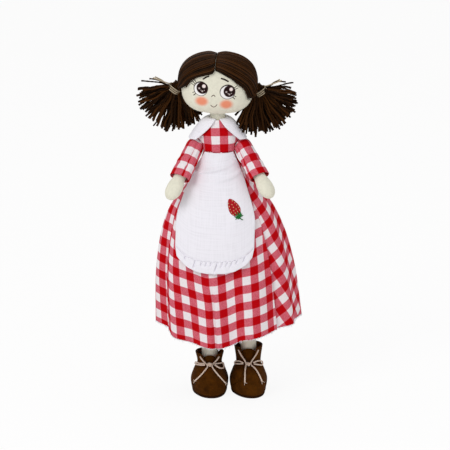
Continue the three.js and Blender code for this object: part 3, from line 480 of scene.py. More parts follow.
class DollCloth(bpy.types.PropertyGroup):
    """Cloth of the dress, the apron and the doll itself."""

    check: length_property("Check", "Width of one gingham stripe", 9.5)
    red: colour_property("Red check", "Where red warp crosses red weft", "#C4000C")
    pink: colour_property("Mixed check", "Where red threads cross white ones", "#D74B61")
    white: colour_property("White check", "Where white warp crosses white weft", "#F1E9EC")
    cotton: colour_property("Apron cotton", "Bleached cotton of apron and collar", "#EFEDF4")
    skin: colour_property("Calico", "Unbleached calico of face, hands and legs", "#E9E6D4")
    berry: colour_property("Berry thread", "Satin stitch of the strawberry", "#B80818")
    leaf: colour_property("Leaf thread", "Satin stitch of the leaf", "#1F7A33")
    seed: colour_property("Seed thread", "Small stitches on the strawberry", "#F3DDA0")


class DollFace(bpy.types.PropertyGroup):
    """Printed face."""

    ink: colour_property("Line", "Outlines, lashes and brows", "#241614")
    iris: colour_property("Iris", "Dark of the eyes", "#2C1615")
    sclera: colour_property("White of the eye", "Pale part of the eyes", "#F4F1F0")
    glint: colour_property("Glint", "Light spots in the eyes", "#F6E6E2")
    blush: colour_property("Blush", "Cheeks", "#EF8560")
    line: colour_property("Nose and mouth", "Thin brown lines", "#4A2A20")


class DollHair(bpy.types.PropertyGroup):
    """Hair, pigtails and their ties."""

    strands: IntProperty(name="Strands", description="Combed strands on each half", default=150, min=20)
    yarns: IntProperty(name="Yarns", description="Yarn ends in each pigtail", default=170, min=20)
    yarn: length_property("Yarn", "Thickness of the pigtail's yarn", 2.1)
    dark: colour_property("Dark hair", "Hair in its shade", "#110600")
    warm: colour_property("Warm hair", "Hair in its light", "#412409")
    tie: colour_property("Tie cord", "Cotton cord round the bunches", "#BCAC92")


class DollShoes(bpy.types.PropertyGroup):
    """Felt shoes and their laces."""

    felt: colour_property("Felt", "Brown wool felt", "#301701")
    nap: colour_property("Nap", "Lighter brushed fibres of the felt", "#5C3306")
    sole: colour_property("Sole", "Dark felt of the sole", "#2A1608")
    lace: colour_property("Lace", "Twisted cotton lace", "#EAD5C4")


class DollStage(bpy.types.PropertyGroup):
    """Camera, light and floor."""

    view_width: length_property("View", "Width of the view at the doll", 504)
    distance: length_property("Distance", "From the camera to the doll", 9000)
    elevation: FloatProperty(
        name="Elevation", description="Height of the camera above level", default=math.radians(16),
        subtype="ANGLE", unit="ROTATION",
    )
    floor: colour_property("Floor", "Pale studio floor", "#F6F5F4")


GROUPS = {
    "doll_cloth": DollCloth,
    "doll_face": DollFace,
    "doll_hair": DollHair,
    "doll_shoes": DollShoes,
    "doll_stage": DollStage,
}


# Shape helpers


def lerp(a, b, share):
    """Value at a share of the way from a to b."""
    return a + (b - a) * share


def smooth(start, end, value):
    """Smooth step from 0 at start to 1 at end."""
    t = np.clip((value - start) / (end - start), 0, 1)
    return t * t * (3 - 2 * t)


def hump(value, middle, width):
    """Bell curve of height one about a middle."""
    return np.exp(-((value - middle) / width) ** 2)


def bulge(value, exponent):
    """Signed power, for rounded-box outlines."""
    return np.sign(value) * np.abs(value) ** exponent


def along(stops, place):
    """Smooth curve through (place, value) stops, with no overshoot between them."""
    spots, values = np.array(stops, float).T
    t = np.clip(place, spots[0], spots[-1])
    climb = np.diff(values) / np.diff(spots)
    before, after = np.r_[climb[:1], climb], np.r_[climb, climb[-1:]]
    product = before * after
    slope = np.where(product > 0, 2 * product / np.where(product > 0, before + after, 1), 0)
    i = np.clip(np.searchsorted(spots, t, side="left") - 1, 0, len(spots) - 2)
    span = spots[i + 1] - spots[i]
    u = (t - spots[i]) / span
    rise = u * u * (3 - 2 * u)
    start = u * (1 - u) ** 2 * span
    end = u * u * (u - 1) * span
    return values[i] + (values[i + 1] - values[i]) * rise + slope[i] * start + slope[i + 1] * end


def unit(vectors):
    """Vectors at length one."""
    return vectors / np.maximum(np.linalg.norm(vectors, axis=-1, keepdims=True), 1e-9)


def stacked(*parts):
    """Points from their x, y and z, which may be arrays or single numbers."""
    return np.stack(np.broadcast_arrays(*parts), -1).astype(float)


def turned(points, angle):
    """Points turned about the Y axis."""
    x, y, z = np.moveaxis(points, -1, 0)
    c, s = math.cos(angle), math.sin(angle)
    return stacked(x * c + z * s, y, z * c - x * s)


def lengths(points, axis):
    """Distance run along one axis of a grid of points, from its first row or column."""
    steps = np.linalg.norm(np.diff(points, axis=axis), axis=-1)
    zero = np.zeros_like(np.take(steps, [0], axis=axis))
    return np.cumsum(np.concatenate([zero, steps], axis=axis), axis=axis)


def cloth_places(points):
    """Places on the flat cloth, in millimetres: across from the middle, and up from the last row."""
    across = lengths(points, 1)
    middle = points.shape[1] // 2
    across = across - across[:, middle:middle + 1]
    down = lengths(points, 0)
    return np.stack([across, down[-1:] - down], -1)


def smooth_route(points, count):
    """Centripetal curve through points, at evenly spaced places."""
    points = np.asarray(points, float)
    ends = [2 * points[0] - points[1], *points, 2 * points[-1] - points[-2]]
    fine = []
    for p0, p1, p2, p3 in zip(ends, ends[1:], ends[2:], ends[3:]):
        t0 = 0.0
        t1 = t0 + np.linalg.norm(p1 - p0) ** 0.5
        t2 = t1 + np.linalg.norm(p2 - p1) ** 0.5
        t3 = t2 + np.linalg.norm(p3 - p2) ** 0.5
        t = np.linspace(t1, t2, ROUTE_STEPS, endpoint=False)[:, None]
        a1 = ((t1 - t) * p0 + (t - t0) * p1) / (t1 - t0)
        a2 = ((t2 - t) * p1 + (t - t1) * p2) / (t2 - t1)
        a3 = ((t3 - t) * p2 + (t - t2) * p3) / (t3 - t2)
        b1 = ((t2 - t) * a1 + (t - t0) * a2) / (t2 - t0)
        b2 = ((t3 - t) * a2 + (t - t1) * a3) / (t3 - t1)
        fine.extend(((t2 - t) * b1 + (t - t1) * b2) / (t2 - t1))
    fine = np.array([*fine, points[-1]])
    run = np.r_[0, np.cumsum(np.linalg.norm(np.diff(fine, axis=0), axis=1))]
    at = np.linspace(0, run[-1], count)
    return np.stack([np.interp(at, run, fine[:, k]) for k in range(3)], -1)


def bezier(corners, count):
    """Cubic curve from its four corner points."""
    t = np.linspace(0, 1, count)[:, None]
    a, b, c, d = (np.asarray(p, float) for p in corners)
    return a * (1 - t) ** 3 + 3 * b * t * (1 - t) ** 2 + 3 * c * t * t * (1 - t) + d * t ** 3


def grid_normals(points, looped):
    """Unit normals of a grid of points."""
    down = np.gradient(points, axis=0)
    if looped:
        ring = points[:, :-1]
        across = np.roll(ring, -1, 1) - np.roll(ring, 1, 1)
        across = np.concatenate([across, across[:, :1]], 1)
    else:
        across = np.gradient(points, axis=1)
    return unit(np.cross(down, across))


class Form:
    """Points, faces and cloth places of one piece while it is made, in millimetres."""

    def __init__(self):
        self.points = []
        self.faces = []
        self.places = []
        self.slots = []
        self.tones = []
        self.count = 0

    def grid(self, points, places=None, slot=0, tone=0.0):
        """Skin over rows of points. Points that fall together are welded when the piece is built."""
        points = np.asarray(points, float)
        rows, columns = points.shape[:2]
        if places is None:
            places = cloth_places(points)
        r, c = np.meshgrid(np.arange(rows - 1), np.arange(columns - 1), indexing="ij")
        corner = r * columns + c
        faces = np.stack([corner, corner + 1, corner + columns + 1, corner + columns], -1).reshape(-1, 4)
        self.points.append(points.reshape(-1, 3))
        self.faces.append(faces + self.count)
        self.places.append(places.reshape(-1, 2)[faces] * MM)
        self.slots.append(np.full(len(faces), slot))
        self.tones.append(np.broadcast_to(tone, points.shape[:2]).reshape(-1))
        self.count += rows * columns

    def sheet(self, outer, thickness, places=None, looped=False, inside=None):
        """Cloth of even thickness under a grid of points, with rounded edges."""
        outer = np.asarray(outer, float)
        if places is None:
            places = cloth_places(outer)
        normals = grid_normals(outer, looped)
        inside = outer.mean((0, 1)) if inside is None else np.asarray(inside)
        if (normals * (outer - inside)).sum(-1).mean() < 0:
            normals = -normals
        inner = outer - thickness * normals
        self.grid(outer, places)
        self.grid(inner, places)
        edges = [(0, 1, 0), (0, -2, -1)] if looped else [(0, 1, 0), (0, -2, -1), (1, 1, 0), (1, -2, -1)]
        for axis, before, edge in edges:
            top, under = np.take(outer, edge, axis), np.take(inner, edge, axis)
            rim = (top + under) / 2 + EDGE_ROUNDING * thickness * unit(top - np.take(outer, before, axis))
            self.grid(np.stack([top, rim, under]), np.stack([np.take(places, edge, axis)] * 3))

    def tube(self, path, radius, sides=8, ply=0.0, twist=0.0, slot=0, tone=0.0):
        """Round strand along a path, two-stranded by its ply, with a twist in radians per millimetre."""
        path = np.asarray(path, float)
        tangent = unit(np.gradient(path, axis=0))
        side = np.cross(tangent[0], FIRST_ASIDE)
        across = []
        for t in tangent:
            side = unit(side - t * side.dot(t))
            across.append(side)
        across = np.array(across)[:, None]
        other = np.cross(tangent[:, None], across)
        angle = np.linspace(0, 2 * np.pi, sides + 1)[None]
        run = lengths(path, 0)[:, None]
        reach = np.broadcast_to(radius, len(path))[:, None]
        reach = reach * (1 + ply * np.cos(2 * (angle + twist * run)))
        outwards = np.cos(angle)[..., None] * across + np.sin(angle)[..., None] * other
        ring = path[:, None] + reach[..., None] * outwards
        ends = [np.repeat(path[k][None, None], sides + 1, 1) for k in (0, -1)]
        rows = np.concatenate([ends[0], ring, ends[1]])
        run = np.concatenate([run[:1], run, run[-1:]])
        places = np.stack(np.broadcast_arrays(run, angle / (2 * np.pi) / MM), -1)
        self.grid(rows, places, slot, tone)

    def build(self, name, *materials):
        """Object of this form, welded, smooth and facing outwards."""
        mesh = bpy.data.meshes.new(name)
        points = (np.concatenate(self.points) + AXIS) * MM
        mesh.from_pydata(points.tolist(), [], np.concatenate(self.faces).tolist())
        cloth = mesh.uv_layers.new(name="cloth")
        cloth.data.foreach_set("uv", np.concatenate(self.places).astype(np.float32).ravel())
        tone = mesh.attributes.new("tone", "FLOAT", "POINT")
        tone.data.foreach_set("value", np.concatenate(self.tones).astype(np.float32))
        mesh.polygons.foreach_set("material_index", np.concatenate(self.slots).astype(np.int32))
        for made in materials:
            mesh.materials.append(made)
        work = bmesh.new()
        work.from_mesh(mesh)
        bmesh.ops.remove_doubles(work, verts=work.verts, dist=WELD * MM)
        bmesh.ops.recalc_face_normals(work, faces=work.faces)
        work.to_mesh(mesh)
        work.free()
        mesh.polygons.foreach_set("use_smooth", np.ones(len(mesh.polygons), bool))
        mesh.update()
        piece = bpy.data.objects.new(name, mesh)
        bpy.context.scene.collection.objects.link(piece)
        return piece


def settle(piece, body, finish, *nodes):
    """Hangs a piece on its body and hides the solids that it stands for; its finish is not used."""
    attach(piece, body)
    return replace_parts(piece, *nodes)


def drape(piece, finish, *nodes):
    """Bakes the place of a piece that lies on the skirt into its mesh, and hides the solids that it
    stands for.
    """
    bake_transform(piece)
    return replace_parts(piece, *nodes)


def joint_place(name):
    """Pivot of a joint, in millimetres about the doll's axis."""
    place = next(j["pos_m"] for j in frame["joints"] if j["name"] == name)
    return np.array(place) / MM - AXIS


# Material helpers


def add_node(tree, kind, inputs, **settings):
    """Adds a node, sets it, and gives each input a value or links it to another node."""
    made = tree.nodes.new(kind)
    for name, value in settings.items():
        setattr(made, name, value)
    for socket, value in inputs.items():
        if isinstance(value, bpy.types.Node):
            value = next(o for o in value.outputs if o.enabled)
        if isinstance(value, bpy.types.NodeSocket):
            tree.links.new(value, made.inputs[socket])
        else:
            made.inputs[socket].default_value = value
    return made


def opaque(colour):
    """Colour with full alpha."""
    return (*colour, 1.0)


def new_finish(name, **sockets):
    """Material with its plain shader sockets set, its node tree and its shader."""
    made = bpy.data.materials.new(name)
    made.use_nodes = True
    shader = made.node_tree.nodes["Principled BSDF"]
    for socket, value in sockets.items():
        shader.inputs[socket.replace("_", " ")].default_value = value
    return made, made.node_tree, shader


def woven(tree, pitch):
    """Height of a plain weave on the flat cloth, from a thread pitch in millimetres."""
    place = add_node(tree, "ShaderNodeUVMap", {}, uv_map="cloth")
    turns = 2 * math.pi / (pitch * MM)
    scales = (turns, turns, 1)
    scaled = add_node(tree, "ShaderNodeVectorMath", {0: place, 1: scales}, operation="MULTIPLY")
    parts = add_node(tree, "ShaderNodeSeparateXYZ", {0: scaled})
    warp = add_node(tree, "ShaderNodeMath", {0: parts.outputs[0]}, operation="SINE")
    weft = add_node(tree, "ShaderNodeMath", {0: parts.outputs[1]}, operation="SINE")
    return add_node(tree, "ShaderNodeMath", {0: warp, 1: weft}, operation="MULTIPLY")


def patches(where, size, detail=3.0):
    """Inputs of a noise whose patches are about a size in millimetres."""
    scale = 1 / (size * MM)
    return {"Vector": where.outputs["Object"], "Scale": scale, "Detail": detail, "Roughness": 0.55}


def shaded(tree, factor, low, high, at_low, at_high):
    """Colour between two colours, as a factor goes from low to high."""
    share = add_node(tree, "ShaderNodeMapRange", {0: factor, 1: low, 2: high})
    colours = {MIX_A: opaque(at_low), MIX_B: opaque(at_high)}
    return add_node(tree, "ShaderNodeMix", {0: share, **colours}, data_type="RGBA")


def set_surface(tree, shader, colours, height, depth, strength):
    """Gives a shader its colours, and relief from a height of about one at a depth in millimetres."""
    relief = {"Height": height, "Distance": depth * MM, "Strength": strength}
    bump = add_node(tree, "ShaderNodeBump", relief)
    tree.links.new(bump.outputs[0], shader.inputs["Normal"])
    tree.links.new(colours.outputs[MIX_RESULT], shader.inputs["Base Color"])


def darker(colour, share):
    """Colour with some of its light taken away."""
    return tuple(part * (1 - share) for part in colour)


# Materials


def calico(name, colour):
    """Unbleached calico, plain woven and stuffed: matt, flecked by uneven threads.

    The real threads are 0.4 mm apart, too fine to show, so they are drawn 1.3 mm apart.
    """
    made, tree, shader = new_finish(name, Roughness=0.92, Specular_IOR_Level=0.1)
    where = add_node(tree, "ShaderNodeTexCoord", {})
    weave = woven(tree, pitch=1.3)
    clouds = add_node(tree, "ShaderNodeTexNoise", patches(where, 3.5))
    both = add_node(tree, "ShaderNodeMath", {0: weave, 1: 0.16, 2: clouds}, operation="MULTIPLY_ADD")
    colours = shaded(tree, both, 0.25, 0.7, darker(colour, 0.11), colour)
    set_surface(tree, shader, colours, weave, depth=0.12, strength=0.4)
    return made, tree, shader, colours


def plain_calico(name, colour):
    """Calico without print."""
    return calico(name, colour)[0]


def printed(tree, colours, marks):
    """Colours with printed marks laid over them, one after the other.

    A spot is a centre, half sizes, a softness and a colour.
    A stroke is two ends, a half width and a colour.
    """
    place = add_node(tree, "ShaderNodeUVMap", {}, uv_map="cloth")
    for mark in marks:
        if mark["kind"] == "spot":
            centre = (*(part * MM for part in mark["centre"]), 0)
            half = (*(part * MM for part in mark["half"]), 1)
            away = add_node(tree, "ShaderNodeVectorMath", {0: place, 1: centre}, operation="SUBTRACT")
            shares = add_node(tree, "ShaderNodeVectorMath", {0: away, 1: half}, operation="DIVIDE")
            far = add_node(tree, "ShaderNodeVectorMath", {0: shares}, operation="LENGTH")
            inner, outer = 1 - mark["soft"], 1 + mark["soft"]
        else:
            start, end = (np.array((*p, 0.0)) * MM for p in mark["ends"])
            line = end - start
            share = tuple(line / line.dot(line))
            first = tuple(start)
            away = add_node(tree, "ShaderNodeVectorMath", {0: place, 1: first}, operation="SUBTRACT")
            run = add_node(tree, "ShaderNodeVectorMath", {0: away, 1: share}, operation="DOT_PRODUCT")
            held = add_node(tree, "ShaderNodeClamp", {0: run.outputs["Value"]})
            reach = {0: tuple(line), "Scale": held}
            near = add_node(tree, "ShaderNodeVectorMath", reach, operation="SCALE")
            far = add_node(tree, "ShaderNodeVectorMath", {0: away, 1: near}, operation="DISTANCE")
            inner, outer = (mark["width"] * MM * k for k in STROKE_EDGE)
        fade = {0: far.outputs["Value"], 1: inner, 2: outer, 3: mark.get("strength", 1.0), 4: 0.0}
        cover = add_node(tree, "ShaderNodeMapRange", fade, interpolation_type="SMOOTHSTEP")
        inks = {0: cover, MIX_A: colours, MIX_B: opaque(mark["colour"])}
        colours = add_node(tree, "ShaderNodeMix", inks, data_type="RGBA")
    return colours


def gingham(name, cloth):
    """Gingham, woven cotton with equal red and white stripes both ways: red, pink and white squares.

    Single threads are 0.35 mm apart, too fine to show, so the thread lines are drawn 1.7 mm apart.
    """
    made, tree, shader = new_finish(name, Roughness=0.9, Specular_IOR_Level=0.08)
    where = add_node(tree, "ShaderNodeTexCoord", {})
    place = add_node(tree, "ShaderNodeUVMap", {}, uv_map="cloth")
    wobble = add_node(tree, "ShaderNodeTexNoise", patches(where, 25.0, 1.0))
    drift = {0: wobble.outputs["Color"], "Scale": 1.2 * MM}
    shift = add_node(tree, "ShaderNodeVectorMath", drift, operation="SCALE")
    place = add_node(tree, "ShaderNodeVectorMath", {0: place, 1: shift}, operation="ADD")
    turns = math.pi / cloth.check
    scales = (turns, turns, 1)
    scaled = add_node(tree, "ShaderNodeVectorMath", {0: place, 1: scales}, operation="MULTIPLY")
    parts = add_node(tree, "ShaderNodeSeparateXYZ", {0: scaled})
    stripes = []
    for output in parts.outputs[:2]:
        wave = add_node(tree, "ShaderNodeMath", {0: output}, operation="SINE")
        stripes.append(add_node(tree, "ShaderNodeMapRange", {0: wave, 1: -0.1, 2: 0.1}))
    either = add_node(tree, "ShaderNodeMath", {0: stripes[0], 1: stripes[1]}, operation="MAXIMUM")
    both = add_node(tree, "ShaderNodeMath", {0: stripes[0], 1: stripes[1]}, operation="MULTIPLY")
    weave = woven(tree, pitch=1.7)
    threads = add_node(tree, "ShaderNodeTexNoise", patches(where, 1.4, 2.0))
    mixed = add_node(tree, "ShaderNodeMath", {0: weave, 1: 0.3, 2: threads}, operation="MULTIPLY_ADD")
    pinks = shaded(tree, mixed, 0.2, 0.8, darker(cloth.pink, 0.22), lerp(np.array(cloth.pink), 1.0, 0.12))
    reds = shaded(tree, mixed, 0.2, 0.8, darker(cloth.red, 0.25), cloth.red)
    whites = shaded(tree, mixed, 0.2, 0.7, darker(cloth.white, 0.1), cloth.white)
    pale = add_node(tree, "ShaderNodeMix", {0: either, MIX_A: whites, MIX_B: pinks}, data_type="RGBA")
    full = add_node(tree, "ShaderNodeMix", {0: both, MIX_A: pale, MIX_B: reds}, data_type="RGBA")
    set_surface(tree, shader, full, weave, depth=0.1, strength=0.4)
    return made


def white_cotton(name, cloth):
    """Bleached cotton, plain woven and ironed: white, with faint slubs along both threads.

    Slubs are drawn 1.6 mm wide, coarser than the real threads, so that they show.
    """
    made, tree, shader = new_finish(name, Roughness=0.88, Specular_IOR_Level=0.12)
    place = add_node(tree, "ShaderNodeUVMap", {}, uv_map="cloth")
    slubs = []
    for wide, long in ((1.6, 30.0), (30.0, 1.6)):
        scales = (1 / (wide * MM), 1 / (long * MM), 1)
        scaled = add_node(tree, "ShaderNodeVectorMath", {0: place, 1: scales}, operation="MULTIPLY")
        even = {"Vector": scaled, "Scale": 1.0, "Detail": 1.0}
        slubs.append(add_node(tree, "ShaderNodeTexNoise", even))
    both = add_node(tree, "ShaderNodeMath", {0: slubs[0], 1: slubs[1]}, operation="ADD")
    colours = shaded(tree, both, 0.7, 1.1, darker(cloth.cotton, 0.06), cloth.cotton)
    set_surface(tree, shader, colours, both, depth=0.2, strength=0.25)
    return made


def hair_strands(name, hair):
    """Combed acrylic hair: dark, each strand its own brown, with a faint silky light across them."""
    made, tree, shader = new_finish(name, Roughness=0.5, Specular_IOR_Level=0.07)
    where = add_node(tree, "ShaderNodeTexCoord", {})
    tone = add_node(tree, "ShaderNodeAttribute", {}, attribute_name="tone")
    clouds = add_node(tree, "ShaderNodeTexNoise", patches(where, 7.0))
    sums = {0: clouds, 1: 0.6, 2: tone.outputs["Fac"]}
    both = add_node(tree, "ShaderNodeMath", sums, operation="MULTIPLY_ADD")
    colours = shaded(tree, both, 0.3, 1.2, hair.dark, hair.warm)
    fine = add_node(tree, "ShaderNodeTexNoise", patches(where, 0.6))
    set_surface(tree, shader, colours, fine, depth=0.15, strength=0.4)
    return made


def wool_yarn(name, hair):
    """Two-ply wool yarn: matt, fuzzy, darker between the plies."""
    made, tree, shader = new_finish(name, Roughness=0.85, Specular_IOR_Level=0.08)
    where = add_node(tree, "ShaderNodeTexCoord", {})
    tone = add_node(tree, "ShaderNodeAttribute", {}, attribute_name="tone")
    fuzz = add_node(tree, "ShaderNodeTexNoise", patches(where, 1.2))
    sums = {0: fuzz, 1: 0.7, 2: tone.outputs["Fac"]}
    both = add_node(tree, "ShaderNodeMath", sums, operation="MULTIPLY_ADD")
    colours = shaded(tree, both, 0.3, 1.3, hair.dark, hair.warm)
    set_surface(tree, shader, colours, fuzz, depth=0.4, strength=0.6)
    return made


def twisted_cord(name, colour, pitch):
    """Twisted cotton cord: matt, with slanting lines between its strands, darkened there as painted
    shade.
    """
    made, tree, shader = new_finish(name, Roughness=0.88, Specular_IOR_Level=0.1)
    place = add_node(tree, "ShaderNodeUVMap", {}, uv_map="cloth")
    turns = (2 * math.pi / (pitch * MM), 4 * math.pi, 1)
    scaled = add_node(tree, "ShaderNodeVectorMath", {0: place, 1: turns}, operation="MULTIPLY")
    parts = add_node(tree, "ShaderNodeSeparateXYZ", {0: scaled})
    slant = add_node(tree, "ShaderNodeMath", {0: parts.outputs[0], 1: parts.outputs[1]}, operation="ADD")
    lines = add_node(tree, "ShaderNodeMath", {0: slant}, operation="SINE")
    # Painted shade: the cord is darker along the lines, in the grooves between its strands
    colours = shaded(tree, lines, -1.0, 0.3, darker(colour, 0.25), colour)
    set_surface(tree, shader, colours, lines, depth=0.15, strength=0.5)
    return made


def wool_felt(name, colour, nap):
    """Pressed wool felt: matt and mottled, with a short brushed nap that catches the light."""
    made, tree, shader = new_finish(name, Roughness=0.95, Specular_IOR_Level=0.06)
    where = add_node(tree, "ShaderNodeTexCoord", {})
    clouds = add_node(tree, "ShaderNodeTexNoise", patches(where, 12.0))
    fibres = add_node(tree, "ShaderNodeTexNoise", patches(where, 0.9, 4.0))
    both = add_node(tree, "ShaderNodeMath", {0: fibres, 1: 0.5, 2: clouds}, operation="MULTIPLY_ADD")
    colours = shaded(tree, both, 0.5, 1.05, colour, nap)
    set_surface(tree, shader, colours, fibres, depth=0.35, strength=0.6)
    return made


def satin_stitch(name, colour):
    """Cotton embroidery thread in satin stitch: close shiny rows 0.9 mm apart."""
    made, tree, shader = new_finish(name, Roughness=0.55, Specular_IOR_Level=0.2)
    where = add_node(tree, "ShaderNodeTexCoord", {})
    weave = woven(tree, pitch=1.8)
    clouds = add_node(tree, "ShaderNodeTexNoise", patches(where, 2.5))
    both = add_node(tree, "ShaderNodeMath", {0: weave, 1: 0.3, 2: clouds}, operation="MULTIPLY_ADD")
    colours = shaded(tree, both, 0.2, 0.8, darker(colour, 0.35), colour)
    set_surface(tree, shader, colours, weave, depth=0.2, strength=0.5)
    return made


def plain_fitting(name, colour, roughness):
    """Small hidden fitting, lightly mottled by handling."""
    made, tree, shader = new_finish(name, Roughness=roughness, Specular_IOR_Level=0.3)
    where = add_node(tree, "ShaderNodeTexCoord", {})
    clouds = add_node(tree, "ShaderNodeTexNoise", patches(where, 4.0))
    colours = shaded(tree, clouds, 0.3, 0.7, darker(colour, 0.15), colour)
    tree.links.new(colours.outputs[MIX_RESULT], shader.inputs["Base Color"])
    return made


def finish_once(name, maker, *settings):
    """Material by its name, made the first time it is asked for."""
    return bpy.data.materials.get(name) or maker(name, *settings)


def gingham_finish(context):
    """Gingham for dress and sleeves."""
    return finish_once("gingham_cotton", gingham, context.scene.doll_cloth)


def cotton_finish(context):
    """White cotton for apron and collar."""
    return finish_once("bleached_cotton", white_cotton, context.scene.doll_cloth)


def calico_finish(context):
    """Calico for neck, torso, arms and legs."""
    return finish_once("calico", plain_calico, tuple(context.scene.doll_cloth.skin))


# Body shapes


def torso_half(part):
    """Half width and half depth of the torso at a share of its height."""
    half = along(TORSO_STOPS, part)
    return half, np.maximum(half * TORSO_FLATNESS, NECK_RADIUS + NECK_WALL)


def ring_rows(angle, centre_x, centre_y, z, half, deep, exponent=1.0):
    """Level rings, one for each height, round a centre."""
    columns = [np.reshape(np.asarray(v, float), (-1, 1)) for v in (centre_x, centre_y, z, half, deep)]
    x, y, z, half, deep = columns
    across = bulge(np.cos(angle), exponent)[None]
    ahead = bulge(np.sin(angle), exponent)[None]
    return stacked(x + half * across, y - deep * ahead, z)


def round_angles(count):
    """Angles of a ring that starts and ends at the back."""
    return np.linspace(-np.pi / 2, 3 * np.pi / 2, count + 1)


class DOLL_OT_torso(bpy.types.Operator):
    """Stuffed torso with a socket for the neck"""

    bl_idname = "doll.torso"
    bl_label = "Torso"

    def execute(self, context):
        part = np.r_[np.linspace(0, 0.1, 8), np.linspace(0.14, 1, 40)]
        half, deep = torso_half(part)
        round_in = np.sqrt(np.clip(1 - (1 - np.clip(part / 0.06, 0, 1)) ** 2, 0, 1))
        half, deep = half * round_in, deep * round_in
        z = TORSO_BOTTOM + part * TORSO_LENGTH
        socket = NECK_RADIUS + CLEARANCE
        z = np.r_[z, TORSO_TOP, TORSO_TOP - NECK_SOCKET, TORSO_TOP - NECK_SOCKET]
        half, deep = (np.r_[v, socket, socket, 0] for v in (half, deep))
        x = np.where(np.arange(len(z)) < len(part), -LEAN * z, NECK_X)
        form = Form()
        form.grid(ring_rows(round_angles(BODY_STEPS), x, 0 * z, z, half, deep))
        piece = form.build("torso_calico", calico_finish(context))
        settle(piece, "torso", "skin_cloth", "torso")
        return {"FINISHED"}


class DOLL_OT_neck(bpy.types.Operator):
    """Stuffed roll between torso and head"""

    bl_idname = "doll.neck"
    bl_label = "Neck"

    def execute(self, context):
        low = CLEARANCE - NECK_SOCKET
        stops = [(low, 1), (NECK_LENGTH - 5, 1), (NECK_LENGTH - 1.5, 0.8), (NECK_LENGTH, 0.3)]
        z = np.r_[low, np.linspace(low, NECK_LENGTH, 40), NECK_LENGTH]
        radius = NECK_RADIUS * along(stops, z)
        radius[[0, -1]] = 0
        form = Form()
        middle = np.full_like(z, NECK_X)
        form.grid(ring_rows(round_angles(LIMB_STEPS), middle, 0 * z, TORSO_TOP + z, radius, radius))
        piece = form.build("neck_calico", calico_finish(context))
        settle(piece, "neck", "skin_cloth", "neck")
        return {"FINISHED"}


class DOLL_OT_legs(bpy.types.Operator):
    """Stuffed legs, from the foot to a round end at the hip"""

    bl_idname = "doll.legs"
    bl_label = "Legs and feet"

    def execute(self, context):
        for side, sign in SIDES.items():
            high = SHOE_HEIGHT[side]
            hip_x = -LEAN * HIP_HEIGHT + sign * HIP_SPACING / 2
            foot_x = sign * FOOT_SPACING / 2
            line = [
                (0, foot_x), (FOOT_TOP, foot_x), (high, foot_x),
                (HIP_HEIGHT, hip_x), (HIP_HEIGHT + 20, hip_x),
            ]
            girth = [
                (0, ANKLE_RADIUS), (high, ANKLE_RADIUS),
                (HIP_HEIGHT / 2, CALF_RADIUS), (HIP_HEIGHT, THIGH_RADIUS),
            ]
            shaft = np.linspace(FOOT_TOP + CLEARANCE, HIP_HEIGHT, LIMB_ROWS)
            rise = np.linspace(0, np.pi / 2, 14)[1:]
            z = np.r_[shaft[0], shaft, HIP_HEIGHT + THIGH_RADIUS * np.sin(rise)]
            radius = np.r_[0, along(girth, shaft), THIGH_RADIUS * np.cos(rise)]
            form = Form()
            form.grid(ring_rows(round_angles(LIMB_STEPS), along(line, z), 0 * z, z, radius, radius))
            piece = form.build(f"{side}_leg_calico", calico_finish(context))
            settle(piece, f"{side}_leg", "skin_cloth", f"{side}_leg")
            foot = Form()
            inset = -FELT - 2 * CLEARANCE
            bottom = SOLE_THICKNESS + CLEARANCE + INSOLE + CLEARANCE
            levels = np.linspace(bottom, FOOT_TOP, 16)
            levels = (bottom, *levels, FOOT_TOP)
            rows = [shoe_points(side, round_angles(BODY_STEPS), z, inset) for z in levels]
            for k in (0, -1):
                rows[k] = np.repeat(rows[k].mean(0)[None], len(rows[k]), 0)
            foot.grid(np.array(rows))
            piece = foot.build(f"{side}_foot_calico", calico_finish(context))
            settle(piece, f"{side}_leg", "skin_cloth", f"{side}_foot")
        return {"FINISHED"}


# Head and hair


def on_head(direction, grow):
    """Where a direction from the head's middle meets the head, grown by some millimetres."""
    share = np.abs(direction) / (HEAD_HALF + np.reshape(grow, (-1, 1)))
    ring = (share[..., 0] ** (2 / HEAD_CORNER) + share[..., 1] ** (2 / HEAD_CORNER)) ** (HEAD_CORNER / 2)
    reach = (ring ** HEAD_ROUNDNESS + share[..., 2] ** HEAD_ROUNDNESS) ** (1 / HEAD_ROUNDNESS)
    return direction / reach[..., None]


def from_head(points):
    """Points of the tilted head, about the doll's axis."""
    return turned(points, HEAD_ROLL) + (NECK_X, -HEAD_FORWARD, HEAD_HEIGHT)


def face_marks(face):
    """Printed marks of the face, in the order in which they are laid over each other."""
    ink, iris, glint, line = (tuple(c) for c in (face.ink, face.iris, face.glint, face.line))
    marks = []

    def spot(centre, half, soft, colour, strength=1.0):
        mark = {"kind": "spot", "centre": centre, "half": half, "soft": soft}
        marks.append({**mark, "colour": colour, "strength": strength})

    for cheek in CHEEKS:
        spot(cheek, CHEEK_HALF, 0.45, tuple(face.blush), 0.88)
    for eye in EYES:
        across, up = eye["centre"]
        wide, high = eye["half"]
        spot((across, up + 0.1), (wide + 0.35, high + 0.35), 0.05, ink)
        spot((across - 0.1, up - 0.35), (wide - 0.55, high - 0.7), 0.05, tuple(face.sclera))
        spot(eye["iris"], IRIS_HALF, 0.06, iris)
        spot(eye["iris"], PUPIL_HALF, 0.3, darker(iris, 0.45))
        spot(eye["glint"], GLINT_HALF, 0.3, glint)
        x, z = eye["iris"]
        for dx, dz, size in SPARKS:
            spot((x + dx, z + dz), (size, size), 0.4, lerp(np.array(glint), np.array(iris), 0.35), 0.9)
    for strokes, colour in ((INK_STROKES, ink), (LINE_STROKES, line)):
        for width, points in strokes:
            for ends in zip(points, points[1:]):
                marks.append({"kind": "stroke", "ends": ends, "width": width, "colour": colour})
    return marks


